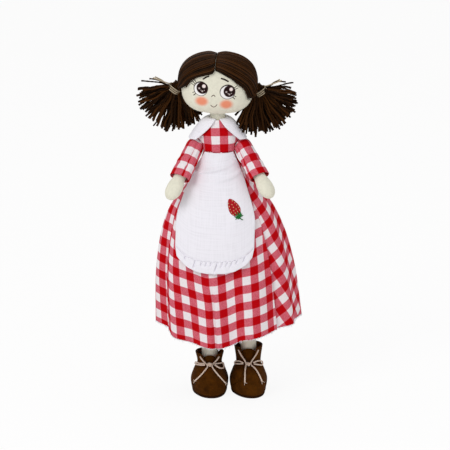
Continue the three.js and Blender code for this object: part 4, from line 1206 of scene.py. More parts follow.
class DOLL_OT_head(bpy.types.Operator):
    """Stuffed head with a pocket for the neck and a printed face"""

    bl_idname = "doll.head"
    bl_label = "Head and face"

    def execute(self, context):
        level = np.cos(np.pi * np.arange(HEAD_ROWS) / HEAD_ROWS)
        level = level[level > HEAD_CUT]
        scale = (1 - np.abs(level) ** HEAD_ROUNDNESS) ** (1 / HEAD_ROUNDNESS)
        jaw = np.where(level < 0, JAW_ROUNDNESS, HEAD_ROUNDNESS)
        breadth = (1 - np.abs(level) ** jaw) ** (1 / jaw)
        wide, deep, high = HEAD_HALF
        pocket = NECK_RADIUS + 2 * CLEARANCE
        pocket_deep = pocket + NECK_LENGTH / 2 * math.tan(HEAD_NOD)
        pocket_top = TORSO_TOP + NECK_LENGTH - HEAD_HEIGHT + NECK_WALL
        low = np.where(level < 0, high + CHIN_FULLNESS, high)
        rim = -np.array(POCKET_RIM) * low[-1]
        z = np.r_[level * low, rim, pocket_top, pocket_top]
        half = np.r_[wide * breadth, pocket + 2.5, pocket, pocket, 0]
        front = np.r_[deep * scale, pocket_deep + 0.8, pocket_deep, pocket_deep, 0]
        shift = np.r_[0 * level, HEAD_FORWARD, HEAD_FORWARD, HEAD_FORWARD, HEAD_FORWARD]
        points = ring_rows(round_angles(HEAD_STEPS), 0 * z, shift, z, half, front, exponent=HEAD_CORNER)
        behind = np.where(points[..., 1] > 0, 1 / MM, 0)
        form = Form()
        form.grid(from_head(points), np.stack([points[..., 0], points[..., 2] + behind + FACE_DROP], -1))
        made, tree, shader, colours = calico("printed_calico", tuple(context.scene.doll_cloth.skin))
        face = printed(tree, colours, face_marks(context.scene.doll_face))
        tree.links.new(face.outputs[MIX_RESULT], shader.inputs["Base Color"])
        piece = form.build("head_calico", made)
        settle(piece, "head", "skin_cloth", "head")
        return {"FINISHED"}


def combed(side, place, count, lift):
    """One strand over the head from the parting to the tie, in the head's frame."""
    sign = SIDES[side]
    turn = lerp(*PARTING_ANGLES, place)
    shift = PARTING_SHIFT * max(1 - place / PARTING_FADE, 0)
    reach = PARTING_RADIUS
    start = (shift + sign * PARTING_HALF, -reach * math.cos(turn), reach * math.sin(turn))
    rows = np.array([COMB_FRONT[side], *COMB_BEHIND], float)
    passed = np.array([
        [along(list(zip(COMB_PLACES, values)), place) for values in rows[:, spot].T]
        for spot in range(rows.shape[1])
    ])
    passed[:, 0] = sign * passed[:, 0]
    gather = math.radians(-90 + 270 * place)
    across, back, up = TIE_ON_HEAD
    around = GATHER_RADIUS
    end = (sign * across, back + around * math.sin(gather), up + around * math.cos(gather))
    t = np.linspace(0, 1, count)
    grow = lerp(1.0, lift, np.sqrt(smooth(-0.02, 0.14, t)))
    return on_head(smooth_route([start, *passed, end], count), grow)


class DOLL_OT_hair(bpy.types.Operator):
    """Hair combed from the parting to the ties: a cap, and strands laid close over it"""

    bl_idname = "doll.hair"
    bl_label = "Hair"

    def execute(self, context):
        hair = context.scene.doll_hair
        finish = finish_once("combed_hair", hair_strands, hair)
        for side, sign in SIDES.items():
            draw = np.random.default_rng(HAIR_SEED + sign)
            form = Form()
            under = HAIR_THICKNESS - CAP_SINK
            cap = [combed(side, place, STRAND_STEPS, under) for place in np.linspace(0, 1, CAP_ROWS)]
            form.sheet(from_head(np.array(cap)), CAP_THICKNESS, inside=from_head(np.zeros(3)))
            for place in np.linspace(0, 1, hair.strands):
                lift = HAIR_THICKNESS - STRAND_SINK + draw.uniform(*STRAND_LIFT)
                near = np.clip(place + draw.uniform(*STRAND_SHIFT), 0, 1)
                path = combed(side, near, STRAND_STEPS, lift)
                radius = draw.uniform(*STRAND_RADIUS) * lerp(1.0, 0.7, np.linspace(0, 1, STRAND_STEPS))
                form.tube(from_head(path), radius, sides=6, tone=draw.uniform(0, 1))
            for root in np.linspace(*WISP_SPAN[side], WISPS):
                path = combed(side, 0, 2 * STRAND_STEPS, HAIR_THICKNESS - WISP_SINK)
                first = int(2 * STRAND_STEPS * root)
                comb = path[first:first + WISP_STEPS]
                fall = np.linspace(0, 1, WISP_STEPS)[:, None] ** 1.5
                droop = (draw.uniform(*WISP_ASIDE) * sign, 0, draw.uniform(*WISP_DROOP))
                wisp = on_head(comb - fall * droop, np.full(WISP_STEPS, WISP_LIFT))
                radius = WISP_RADIUS * np.linspace(1, 0.25, WISP_STEPS)
                form.tube(from_head(wisp), radius, sides=6, tone=draw.uniform(0, 0.5))
            piece = form.build(f"{side}_hair_strands", finish)
            settle(piece, "head", "hair_yarn", f"{side}_hair")
        return {"FINISHED"}


def from_pigtail(side, points):
    """Points of a pigtail, whose yarn hangs along its own -Z, about the doll's axis."""
    return turned(points, -SIDES[side] * PIGTAIL_ANGLE) + joint_place(f"{side}_pigtail_lift")


def yarn_path(sign, angle, long, deep, share, depth, draw):
    """One yarn of a pigtail, from inside the bunch through the tie to its cut end."""
    fan = math.radians(angle) - PIGTAIL_ANGLE
    knot = BUNCH_RADIUS * 0.72 * np.array([sign * share, depth * math.sqrt(1 - 0.5 * share * share), 0])
    toward = np.array([sign * math.sin(fan), 0, -math.cos(fan)])
    first = math.radians(max(angle, YARN_LEAST_TURN)) - PIGTAIL_ANGLE
    hug = np.array([sign * math.sin(first), 0, -math.cos(first)])
    corners = [
        knot + (0, 0, 0.62 * BUNCH_RADIUS),
        knot + 1.6 * BUNCH_RADIUS * lerp(np.array([0, 0, -1.0]), hug, YARN_HUG * smooth(25, -20, angle)),
        0.55 * long * toward + (0, 0.85 * deep, 0.08 * long) + draw.normal(0, 2.0, 3),
        long * toward + (0, deep, 0),
    ]
    t = np.linspace(0, 1, YARN_STEPS)
    path = bezier(corners, YARN_STEPS)
    wave = np.sin(t * draw.uniform(*YARN_WAVES) + draw.uniform(0, 6)) * smooth(0.25, 0.55, t)
    wave = wave * draw.uniform(*YARN_WAVE_REACH)
    aside = np.array([sign * math.cos(fan), draw.uniform(-0.8, 0.8), math.sin(fan)])
    return path + wave[:, None] * aside


class DOLL_OT_pigtails(bpy.types.Operator):
    """Pigtails of two-ply yarn that fans out from the tied bunch to uneven cut ends"""

    bl_idname = "doll.pigtails"
    bl_label = "Pigtails"

    def execute(self, context):
        hair = context.scene.doll_hair
        finish = finish_once("wool_yarn", wool_yarn, hair)
        radius = hair.yarn / MM / 2
        swell = lerp(0.6, 1.0, smooth(0.15, 0.45, np.linspace(0, 1, YARN_STEPS)))
        for side, sign in SIDES.items():
            draw = np.random.default_rng(YARN_SEED + sign)
            form = Form()
            for k in range(hair.yarns):
                share = 2 * (k + 0.5) / hair.yarns - 1
                depth = draw.uniform(-1, 1)
                angle = lerp(*FAN_ANGLES[side], (share + 1) / 2) + draw.uniform(*YARN_SWERVE)
                long = along(YARN_LENGTHS, angle) * draw.uniform(*YARN_LENGTH_SHARES)
                long = long * (1 - 0.12 * depth * depth)
                deep = depth * (PIGTAIL_THICKNESS + 1.5) * math.sqrt(1 - 0.5 * share * share)
                deep -= INNER_FORWARD[side] * smooth(20, -25, angle) * smooth(0.7, -0.3, depth)
                path = yarn_path(sign, angle, long, deep, share, depth, draw)
                thick = radius * draw.uniform(*YARN_THICKNESS_SHARES) * swell
                tone = draw.uniform(0, 1) ** 1.6
                form.tube(from_pigtail(side, path), thick, YARN_SIDES, YARN_PLY, YARN_TWIST, tone=tone)
            for angle, long, deep in STRAYS:
                path = yarn_path(sign, angle, long, deep, 0.9, 0.0, draw)
                thick = 0.8 * radius * swell
                form.tube(from_pigtail(side, path), thick, YARN_SIDES, YARN_PLY, YARN_TWIST, tone=0.2)
            piece = form.build(f"{side}_pigtail_yarn", finish)
            settle(piece, f"{side}_pigtail", "hair_yarn", f"{side}_pigtail")
        return {"FINISHED"}


def tie_route(side):
    """Route of a hair tie: a tail, turns round the bunch, and the other tail."""
    sign = SIDES[side]
    wound = BUNCH_RADIUS + TIE_RADIUS + CLEARANCE
    pitch = 2 * TIE_RADIUS + TIE_GAP
    first = -0.3 * BUNCH_RADIUS
    part = np.linspace(0, TIE_TURNS, TIE_TURNS * 12 + 1)
    turns = stacked(
        sign * wound * np.cos(2 * np.pi * part), wound * np.sin(2 * np.pi * part), first - part * pitch
    )
    last = first - TIE_TURNS * pitch
    upper = [(21, -9, first - 5), (10, -9, first - 2), (2.6, -6, first - 0.4)]
    lower = [(1.6, 5, last - 0.3), (7, 9, last + 0.6), (17, 10, last - 1)]
    tails = [[(sign * (wound + x), y, z) for x, y, z in tail] for tail in (upper, lower)]
    return from_pigtail(side, smooth_route([*tails[0], *turns, *tails[1]], TIE_STEPS))


class DOLL_OT_ties(bpy.types.Operator):
    """Cotton cords wound round the bunches, with two loose tails each"""

    bl_idname = "doll.ties"
    bl_label = "Hair ties"

    def execute(self, context):
        finish = finish_once("twisted_tie", twisted_cord, tuple(context.scene.doll_hair.tie), TIE_PITCH)
        for side in SIDES:
            path = tie_route(side)
            form = Form()
            form.tube(path, TIE_RADIUS, sides=8, ply=0.08, twist=1.4)
            piece = form.build(f"{side}_tie_cord", finish)
            settle(piece, f"{side}_pigtail", "tie_cord", f"{side}_hair_tie")
        return {"FINISHED"}


# Dress


class DOLL_OT_bodice(bpy.types.Operator):
    """Bodice, close over the torso from the skirt's seam to the neck"""

    bl_idname = "doll.bodice"
    bl_label = "Bodice"

    def execute(self, context):
        part = np.linspace(1, 1 - YOKE_LENGTH / TORSO_LENGTH, BODICE_ROWS)
        half, deep = torso_half(part)
        grow = CLEARANCE + CLOTH
        half = np.maximum(half, along(BODICE_SIDES, part) - grow)
        z = TORSO_BOTTOM + part * TORSO_LENGTH
        angle = round_angles(BODICE_STEPS)
        pucker = 0.25 * np.sin(9 * angle[None] + 14 * part[:, None]) * smooth(0.85, 0.7, part)[:, None]
        points = ring_rows(angle, -LEAN * z, 0 * z, z, half + grow, deep + grow)
        points[..., 1] += pucker * -np.sin(angle)[None]
        form = Form()
        form.sheet(points, CLOTH, cloth_places(points) + BODICE_CHECK_SHIFT, looped=True)
        piece = form.build("bodice_gingham", gingham_finish(context))
        settle(piece, "torso", "gingham", "dress_bodice")
        return {"FINISHED"}


def seam_half():
    """Half width and half depth of the dress at the skirt's seam."""
    half, deep = torso_half(1 - YOKE_LENGTH / TORSO_LENGTH)
    return half + CLEARANCE + CLOTH, deep + CLEARANCE + CLOTH


def skirt_half(part):
    """Half width and half depth of the skirt without its folds, at a share of its length."""
    half, deep = seam_half()
    share = along(SKIRT_PROFILE, part)
    return lerp(half, HEM_HALF_WIDTH, share), lerp(deep, HEM_HALF_DEPTH, share)


def skirt_sway(part):
    """How far the skirt's middle stands to the side, at a share of its length."""
    return -LEAN * SEAM_HEIGHT * (1 - np.asarray(part, float) ** 1.4)


def skirt_drop(across):
    """Length of the skirt, which is shorter at its sides and hangs lower towards the doll's right."""
    return SKIRT_LENGTH - HEM_SIDE_RISE * across * across + along(HEM_SHIFT, across)


def skirt_points(part, angle):
    """Folded skirt at shares of its length and angles round it, 90 degrees being the front."""
    part, angle = np.broadcast_arrays(part, angle)
    half, deep = skirt_half(part)
    fold = FOLD_DEPTH * part * (0.5 - 0.5 * np.cos(FOLD_COUNT * angle + 1))
    gather = GATHER_DEPTH * hump(part, 0.05, 0.08) * (np.sin(GATHER_COUNT * angle) - 1)
    soft = WAVE_DEPTH * part * np.sin(WAVE_COUNT * angle + 5 * part)
    left, right = FOLD_EDGES
    tuck = np.where(angle < left, hump(angle, left, FOLD_EDGE_WIDTH), 0)
    tuck = tuck + np.where(angle > right, hump(angle, right, FOLD_EDGE_WIDTH), 0)
    tuck = FOLD_EDGE_DEPTH * tuck * smooth(0.3, 0.55, part)
    pinch = CREASE_DEPTH * hump(angle, CREASE, CREASE_WIDTH) * smooth(0.6, 0.78, part)
    behind = np.maximum(-np.sin(angle), 0) ** 0.85
    full = BACK_FULLNESS * behind * smooth(0.05, 0.12, part) * smooth(0.4, 0.14, part)
    inset = fold - gather - soft + 0.8 * part + tuck + pinch - full
    x = skirt_sway(part) + (half - inset) * np.cos(angle)
    return stacked(x, -(deep - inset) * np.sin(angle), SKIRT_TOP - part * skirt_drop(np.cos(angle)))


class DOLL_OT_skirt(bpy.types.Operator):
    """Skirt, gathered at its seam, flaring and folded towards a raw hem"""

    bl_idname = "doll.skirt"
    bl_label = "Skirt"

    def execute(self, context):
        part = np.linspace(0, 1, SKIRT_ROWS)[:, None]
        angle = round_angles(SKIRT_STEPS)[None]
        points = skirt_points(part, angle)
        across = lengths(points, 1)
        middle = angle.shape[1] // 2
        across = across - across[:, middle:middle + 1]
        side = smooth(0.45, 1.3, angle - np.pi / 2) * 0.8
        across = lerp(across, across[-1:], side)
        down = lengths(points, 0)
        up = down[-1:] - down
        c, s = math.cos(SIDE_PANEL_TURN), math.sin(SIDE_PANEL_TURN)
        aside = angle < FOLD_EDGES[0] + 0 * up
        slanted = np.stack([across * c - up * s, across * s + up * c], -1)
        places = np.where(aside[..., None], slanted, np.stack([across, up], -1)) + SKIRT_CHECK_SHIFT
        form = Form()
        form.sheet(points, DRESS_CLOTH, places, looped=True)
        draw = np.random.default_rng(HEM_SEED)
        for column in draw.choice(angle.size - 1, FRAYED_THREADS, replace=False):
            end, before = points[-1, column], points[-4, column]
            fall = unit(end - before) + draw.normal(0, THREAD_SPREAD, 3)
            long = draw.uniform(*THREAD_LENGTHS)
            thread = [end - 0.4 * fall, end + 0.4 * long * fall, end + long * fall]
            form.tube(thread, THREAD_RADIUS, sides=5, slot=1)
        piece = form.build("skirt_gingham", gingham_finish(context), cotton_finish(context))
        drape(piece, "gingham", "dress_skirt")
        return {"FINISHED"}


def on_skirt(left, right, share, z, lift):
    """Place on the front of the unfolded skirt, at a share of the way between two places across it."""

    def angle_in(half):
        ends = [np.arcsin(np.clip(x / half, -0.98, 0.98)) for x in (left, right)]
        return lerp(*ends, share)

    def part_at(across):
        return np.clip((SKIRT_TOP - z) / skirt_drop(across), 0, 1)

    part = part_at(np.sin(angle_in(skirt_half(part_at(0.5))[0] + lift)))
    half, deep = skirt_half(part)
    angle = angle_in(half + lift)
    return stacked(skirt_sway(part) + (half + lift) * np.sin(angle), -(deep + lift) * np.cos(angle), z)


def apron_point(u, v, lift):
    """Place on the apron: u across from -1 to 1, v down from the waist."""
    z = SKIRT_TOP - 0.5 - v * (APRON_LENGTH - APRON_CORNER * np.abs(u) ** 3)
    full = APRON_HALF_WIDTH
    stops = [(0, 0.94 * seam_half()[0]), (0.35, 0.74 * full), (0.75, full), (1, full)]
    middle = -APRON_SHIFT * v
    half = along(stops, v)
    return on_skirt(middle - half, middle + half, (u + 1) / 2, z, 3 * CLEARANCE + lift)


def apron_form():
    """Apron with creases below the waist and soft waves lower down."""
    u = np.linspace(-1, 1, APRON_STEPS)[None]
    v = np.linspace(0, 1, APRON_ROWS)[:, None]
    ridges = (0.5 + 0.5 * np.sin(54 * v + 3.4 * u)) ** 3
    creases = APRON_CREASE * hump(v, 0.18, 0.08) * ridges * np.cos(1.3 * u)
    creases = creases + APRON_WAVE * hump(v, 0.55, 0.25) * (0.5 + 0.5 * np.sin(6 * u + 8 * v))
    form = Form()
    form.sheet(apron_point(u, v, CLOTH + creases), CLOTH, inside=APRON_INSIDE)
    return form


def ruffle_form():
    """Gathered edge of the apron, with uneven tucks."""
    u = np.linspace(-1, 1, RUFFLE_STEPS)[None]
    down = np.linspace(0, 1, RUFFLE_ROWS)[:, None]
    drop = APRON_LENGTH - APRON_CORNER * np.abs(u) ** 3
    reach = down * (RUFFLE_DEPTH + RUFFLE_OVERLAP) * (1 - 0.35 * u * u)
    v = 1 + (CLEARANCE - RUFFLE_OVERLAP + reach) / drop
    turns = RUFFLE_COUNT * np.pi * (u + 1) + 1.1 * np.sin(5 * u) + 0.6 * np.sin(11 * u + 1)
    wave = RUFFLE_WAVE * (0.9 + 0.5 * down) + 0.45 * np.sin(turns) * (0.4 + 0.6 * down)
    for place, run in RUFFLE_TUCKS:
        near = hump(u + TUCK_LEAN * (down - 0.3), place, TUCK_HALF)
        wave = wave - TUCK_DEPTH * near * smooth(run, 0.5 * run, down)
    points = apron_point(u * (1 - 0.05 * down), v, CLOTH + np.maximum(wave, -0.4))
    form = Form()
    form.sheet(points, CLOTH * 0.9, inside=APRON_INSIDE)
    return form


class DOLL_OT_apron(bpy.types.Operator):
    """Apron laid over the front of the skirt, and its gathered edge"""

    bl_idname = "doll.apron"
    bl_label = "Apron"

    def execute(self, context):
        finish = cotton_finish(context)
        apron = apron_form().build("apron_cotton", finish)
        ruffle = ruffle_form().build("apron_ruffle_cotton", finish)
        drape(apron, "white_cotton", "apron")
        drape(ruffle, "white_cotton", "apron_ruffle")
        return {"FINISHED"}


def on_apron(x, z, lift):
    """Place on the apron's motif, whose tip points up and towards the doll's right."""
    across = x * math.cos(MOTIF_TURN) - z * math.sin(MOTIF_TURN)
    up = x * math.sin(MOTIF_TURN) + z * math.cos(MOTIF_TURN)
    spot = MOTIF_AT[0] + across
    return on_skirt(spot, spot, 0.0, MOTIF_AT[1] + up, lift)


def motif_rows(x, z, height):
    """Crowned patch inside an outline, from its edge to its middle."""
    part = np.linspace(1, 0, MOTIF_ROWS)[:, None]
    lift = MOTIF_LIFT + height * np.sqrt(np.clip(1 - part ** 2.6, 0, 1))
    top = on_apron(part * (x - x.mean()) + x.mean(), part * (z - z.mean()) + z.mean(), lift)
    low = np.full((1, x.size), MOTIF_LIFT - MOTIF_SINK)
    foot = on_apron(x[None] + 0 * part[:1], z[None] + 0 * part[:1], low)
    return np.concatenate([foot, top])


def stitch_path(line, lift, count):
    """Smooth route over the apron through (across, up) places on the motif."""
    ends = [on_apron(np.array([x]), np.array([z]), MOTIF_LIFT + lift)[0] for x, z in line]
    return smooth_route(ends, count)


def berry_form():
    """Crowned berry, narrow at its tip, with rows of seed stitches."""
    angle = np.linspace(0, 2 * np.pi, MOTIF_STEPS + 1)
    up = np.sin(angle)
    wide = BERRY_HALF_WIDTH * np.cos(angle) * (1 - BERRY_TAPER + BERRY_TAPER * up)
    form = Form()
    form.grid(motif_rows(wide, BERRY_HEIGHT / 2 * up, 1.0))
    for row, z in enumerate(np.linspace(*BERRY_SEED_ROWS)):
        share = 2 * z / BERRY_HEIGHT
        wide = BERRY_HALF_WIDTH * math.sqrt(1 - share ** 2) * (1 - BERRY_TAPER + BERRY_TAPER * share)
        count = 2 + (row + 1) // 2
        for x in np.linspace(-0.72, 0.72, count) * wide:
            path = stitch_path([(x, z + dz) for dz in (-0.55, 0, 0.55)], 1.0, 7)
            form.tube(path, 0.5 * np.sin(np.linspace(0.4, np.pi - 0.4, 7)), sides=6, slot=1)
    return form


def leaf_form():
    """Leaf with pointed tips over the berry, and a stalk."""
    angle = np.linspace(0, 2 * np.pi, MOTIF_STEPS + 1)
    middle = BERRY_TOP + 0.77 * LEAF_REACH + 4 * CLEARANCE
    reach = LEAF_REACH * (1 + 0.28 * np.cos(5 * angle))
    form = Form()
    form.grid(motif_rows(1.55 * reach * np.cos(angle), middle + 0.6 * reach * np.sin(angle) - 0.4, 0.9))
    for x, long in LEAF_TIPS:
        line = [(0.5 * x, middle), (0.8 * x, middle - 0.5 * long), (1.25 * x, middle - long)]
        form.tube(stitch_path(line, 1.1, 12), 0.95 * np.sin(np.linspace(0.9, np.pi - 0.15, 12)), sides=8)
    stalk = [(0, middle), (-0.4, middle + 2.4), (-1.6, middle + 4.4)]
    form.tube(stitch_path(stalk, 0.5, 12), 0.55, sides=8)
    return form


class DOLL_OT_strawberry(bpy.types.Operator):
    """Embroidered strawberry on the apron, with seed stitches, a leaf and a stalk"""

    bl_idname = "doll.strawberry"
    bl_label = "Strawberry"

    def execute(self, context):
        cloth = context.scene.doll_cloth
        red = finish_once("berry_thread", satin_stitch, tuple(cloth.berry))
        green = finish_once("leaf_thread", satin_stitch, tuple(cloth.leaf))
        pale = finish_once("seed_thread", satin_stitch, tuple(cloth.seed))
        berry = berry_form().build("strawberry_stitching", red, pale)
        leaf = leaf_form().build("leaf_stitching", green)
        drape(berry, "berry_cloth", "strawberry")
        drape(leaf, "leaf_cloth", "strawberry_leaf")
        return {"FINISHED"}


def collar_points(sign, turn, out):
    """Half of the collar: turn from the front round to the back, out from the neckline to the edge."""
    gap_top, gap_edge, back = (math.radians(a) for a in COLLAR_ANGLES)
    down = np.maximum(out, 0)
    angle = lerp(lerp(gap_top, gap_edge, down ** 2), back, turn)
    rounded = 1 - COLLAR_ROUNDING * np.cos(2 * np.pi * turn) ** 8
    neckline = NECK_RADIUS + NECK_WALL + CLOTH + 2 * CLEARANCE
    inner = NECK_RADIUS + 2 * CLEARANCE

    def reach(outer):
        return np.where(out < 0, lerp(neckline, inner, -out), lerp(neckline, outer * rounded, down))

    x = reach(COLLAR_HALF_WIDTH) * np.sin(angle)
    y = -reach(COLLAR_HALF_DEPTH) * np.cos(angle)
    roll = 1.0 * np.sin(np.pi * down) * np.sin(np.pi * np.clip(turn * 1.2 + 0.05, 0, 1))
    fall = COLLAR_FALL + COLLAR_TIP_FALL * smooth(0.6, 0.15, turn)
    z = TORSO_TOP + CLEARANCE - fall * down ** COLLAR_ROLL + roll + COLLAR_THICKNESS
    return stacked(NECK_X + sign * x, y, z)


class DOLL_OT_collar(bpy.types.Operator):
    """Two rounded collar halves that roll from the neckline out over the shoulders"""

    bl_idname = "doll.collar"
    bl_label = "Collar"

    def execute(self, context):
        for side, sign in SIDES.items():
            turn = np.linspace(0, 1, COLLAR_STEPS)[None]
            out = np.r_[-1, -0.5, np.linspace(0, 1, COLLAR_ROWS)][:, None]
            form = Form()
            inside = (NECK_X, 0, TORSO_TOP - 40)
            form.sheet(collar_points(sign, turn, out), COLLAR_THICKNESS, inside=inside)
            piece = form.build(f"{side}_collar_cotton", cotton_finish(context))
            settle(piece, "torso", "white_cotton", f"{side}_collar")
        return {"FINISHED"}


# Arms


def from_arm(side, points):
    """Points of an arm that hangs along -Z from its shoulder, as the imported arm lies."""
    sign = SIDES[side]
    pivot = joint_place(f"{side}_arm_raise")
    corners = np.array([v.co for v in frame["nodes"][f"{side}_arm"].data.vertices]) / MM - AXIS
    tip = corners[np.linalg.norm(corners - pivot, axis=1).argmax()]
    lay = Vector((0, 0, -1)).rotation_difference(Vector(tip - pivot)).to_matrix()
    flat = Matrix.Rotation(math.radians(sign * (90 - ARM_AZIMUTH[side])), 3, "Z")
    return points @ np.array(lay @ flat).T + pivot


def cap_rows(radius, count):
    """Heights and shares of the radius of a round top."""
    rise = np.linspace(np.pi / 2, 0, count)
    return radius * np.sin(rise), np.cos(rise)


class DOLL_OT_arms(bpy.types.Operator):
    """Stuffed arms with flat mitten hands"""

    bl_idname = "doll.arms"
    bl_label = "Arms"

    def execute(self, context):
        root = SLEEVE_RADIUS - CLOTH - CLEARANCE
        top, shares = cap_rows(root, SHOULDER_ROWS)
        t = np.linspace(0, 1, LIMB_ROWS)[1:]
        close = np.sqrt(np.clip(1 - (np.clip(t - 0.83, 0, 1) / 0.17) ** 2, 0, 1))
        for side in SIDES:
            half = []
            for hand in HAND_HALF:
                upper = [(0, root), (0.3, 0.86 * root), (0.56, WRIST_RADIUS)]
                stops = [*upper, (0.78, hand), (1, 0.92 * hand)]
                half.append(np.r_[root * shares, along(stops, t) * close])
            z = np.r_[top, -t * ARM_LENGTH]
            form = Form()
            form.grid(from_arm(side, ring_rows(round_angles(LIMB_STEPS), 0 * z, 0 * z, z, *half)))
            piece = form.build(f"{side}_arm_calico", calico_finish(context))
            settle(piece, f"{side}_arm", "skin_cloth", f"{side}_arm")
        return {"FINISHED"}


class DOLL_OT_sleeves(bpy.types.Operator):
    """Sleeves, round at the shoulder and open at the cuff, with a seam down the front"""

    bl_idname = "doll.sleeves"
    bl_label = "Sleeves"

    def execute(self, context):
        full = SLEEVE_RADIUS + SLEEVE_FULLNESS
        top, shares = cap_rows(full, SHOULDER_ROWS)
        top = top * SLEEVE_CAP
        t = np.linspace(0, 1, SLEEVE_ROWS)[1:]
        for side in SIDES:
            z = np.r_[top, -t * SLEEVE_LENGTH]
            ease = t * t * (3 - 2 * t)
            wide, deep = (np.r_[full * shares, lerp(full, cuff, ease)] for cuff in CUFF_HALF)
            angle = round_angles(SLEEVE_STEPS) + SLEEVE_SEAM[side]
            points = ring_rows(angle, 0 * z, 0 * z, z, wide, deep)
            part = np.clip(-z / SLEEVE_LENGTH, 0, 1)[:, None]
            crease = SLEEVE_CREASE * np.sin(24 * part + 2 * np.cos(angle)[None]) * hump(part, 0.55, 0.22)
            from_seam = np.minimum(np.arange(angle.size), np.arange(angle.size)[::-1])[None]
            groove = SEAM_GROOVE * (hump(from_seam, 0, 1.5) - 0.35 * hump(from_seam, 4, 1.8))
            points[..., :2] *= 1 - (0.9 * crease + groove)[..., None] / SLEEVE_RADIUS
            places = cloth_places(points) + SLEEVE_CHECK_SHIFT
            form = Form()
            form.sheet(from_arm(side, points), DRESS_CLOTH, places, looped=True)
            piece = form.build(f"{side}_sleeve_gingham", gingham_finish(context))
            settle(piece, f"{side}_arm", "gingham", f"{side}_sleeve")
        return {"FINISHED"}


# Shoes


def shoe_girth(side, z):
    """Half width, reach to the toe and reach to the heel of a shoe at a height."""
    high = SHOE_HEIGHT[side]
    box = TOE_BOX_HEIGHT
    levels = (0, 0.5 * box, box, box + ANKLE_RISE, high)
    rim = ANKLE_HALF + TOP_FLARE / 2
    wide, toe, heel = SHOE_HALF_WIDTH, SHOE_TOE, SHOE_HEEL
    shares = [
        (0.9 * wide, wide, 0.84 * wide, ANKLE_HALF, ANKLE_HALF + TOP_FLARE),
        (1.03 * toe, 1.06 * toe, 0.78 * toe, ANKLE_HALF, rim),
        (0.88 * heel, heel, 0.95 * heel, ANKLE_HALF, rim),
    ]
    return [along(list(zip(levels, values)), z) for values in shares]


def shoe_points(side, angle, z, grow=0.0):
    """Shoe surface at angles and heights, 90 degrees being the toe."""
    angle, z = np.broadcast_arrays(angle, z)
    wide, front, back = (v + grow for v in shoe_girth(side, z))
    ahead = bulge(np.sin(angle), SHOE_CORNER)
    y = -np.where(ahead > 0, front, back) * ahead
    x = SIDES[side] * FOOT_SPACING / 2 + wide * bulge(np.cos(angle), SHOE_CORNER)
    return stacked(x + TOE_TURN[side] * np.maximum(-y - ANKLE_HALF, 0), y, z)


def shoe_angle(side, across, z):
    """Angle at which a shoe's front is some way across, or just behind its side where it is narrower."""
    wide, _, back = shoe_girth(side, z)
    at_side = -np.arcsin(np.clip((2.0 / back) ** (1 / SHOE_CORNER), 0, 1))
    share = np.clip(across / wide, 0, 1)
    return np.where(share < 1, np.arccos(share ** (1 / SHOE_CORNER)), at_side)


def on_shoe(side, place):
    """Lace place on the front of a shoe, lifted straight off the felt."""
    across, up, lift = place
    z = SHOE_HEIGHT[side] + up

    def front(x, height):
        wide = shoe_girth(side, height)[0]
        angle = np.arccos(bulge(np.clip(x / wide, -1, 1), 1 / SHOE_CORNER))
        return shoe_points(side, angle, height)

    step = 0.6
    sideways = front(across + step, z) - front(across - step, z)
    upward = front(across, z + step) - front(across, z - step)
    return front(across, z) + (lift + LACE_RADIUS + CLEARANCE) * unit(np.cross(sideways, upward))


def frayed_end(path):
    """Loose fibres that spread from a cord's cut end."""
    form = Form()
    draw = np.random.default_rng(FIBRE_SEED)
    ahead = unit(path[-1] - path[-3])
    for _ in range(LACE_FIBRES):
        aside = draw.normal(0, FIBRE_SPREAD, 3) * (1, 0.4, 1)
        reach = draw.uniform(*FIBRE_LENGTHS)
        start = path[-2] + 0.3 * aside
        fibre = [start, start + 0.5 * reach * (ahead + 0.5 * aside), start + reach * (ahead + aside)]
        form.tube(fibre, FIBRE_RADIUS, sides=5)
    return form


class DOLL_OT_laces(bpy.types.Operator):
    """Twisted laces: two strands with loose tails, two bow loops and a knot on each shoe"""

    bl_idname = "doll.laces"
    bl_label = "Laces"

    def execute(self, context):
        colour = tuple(context.scene.doll_shoes.lace)
        finish = finish_once("twisted_lace", twisted_cord, colour, LACE_PITCH)
        for side in SIDES:
            paths = {}
            for name, route in LACE_ROUTES[side].items():
                paths[name] = smooth_route([on_shoe(side, place) for place in route], LACE_STEPS)
                form = Form()
                form.tube(paths[name], LACE_RADIUS, LACE_SIDES, LACE_PLY, LACE_TWIST)
                node = f"{side}_lace_{name}"
                piece = form.build(f"{node}_cord", finish)
                settle(piece, f"{side}_leg", "lace_cord", node)
            middle = on_shoe(side, (0, -KNOT_DROP[side], KNOT_LIFT))
            t = np.linspace(0.35, 2 * np.pi + 0.2, KNOT_STEPS)
            across, up = np.sin(t) + 2 * np.sin(2 * t), np.cos(t) - 2 * np.cos(2 * t)
            coil = stacked(across, 1.1 * np.sin(3 * t), up)
            form = Form()
            form.tube(middle + coil * KNOT_SCALE, LACE_RADIUS, LACE_SIDES, LACE_PLY, LACE_TWIST)
            node = f"{side}_lace_knot"
            knot = settle(form.build(f"{node}_cord", finish), f"{side}_leg", "lace_cord", node)
            for end in SIDES:
                path = paths[f"{end}_strand"]
                fray = frayed_end(path).build(f"{side}_lace_{end}_fray", finish)
                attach(fray, f"{side}_leg")
        return {"FINISHED"}


def shoe_middle(side):
    """Place inside a shoe, which tells the outside of its felt."""
    return (SIDES[side] * FOOT_SPACING / 2, 0, 20)


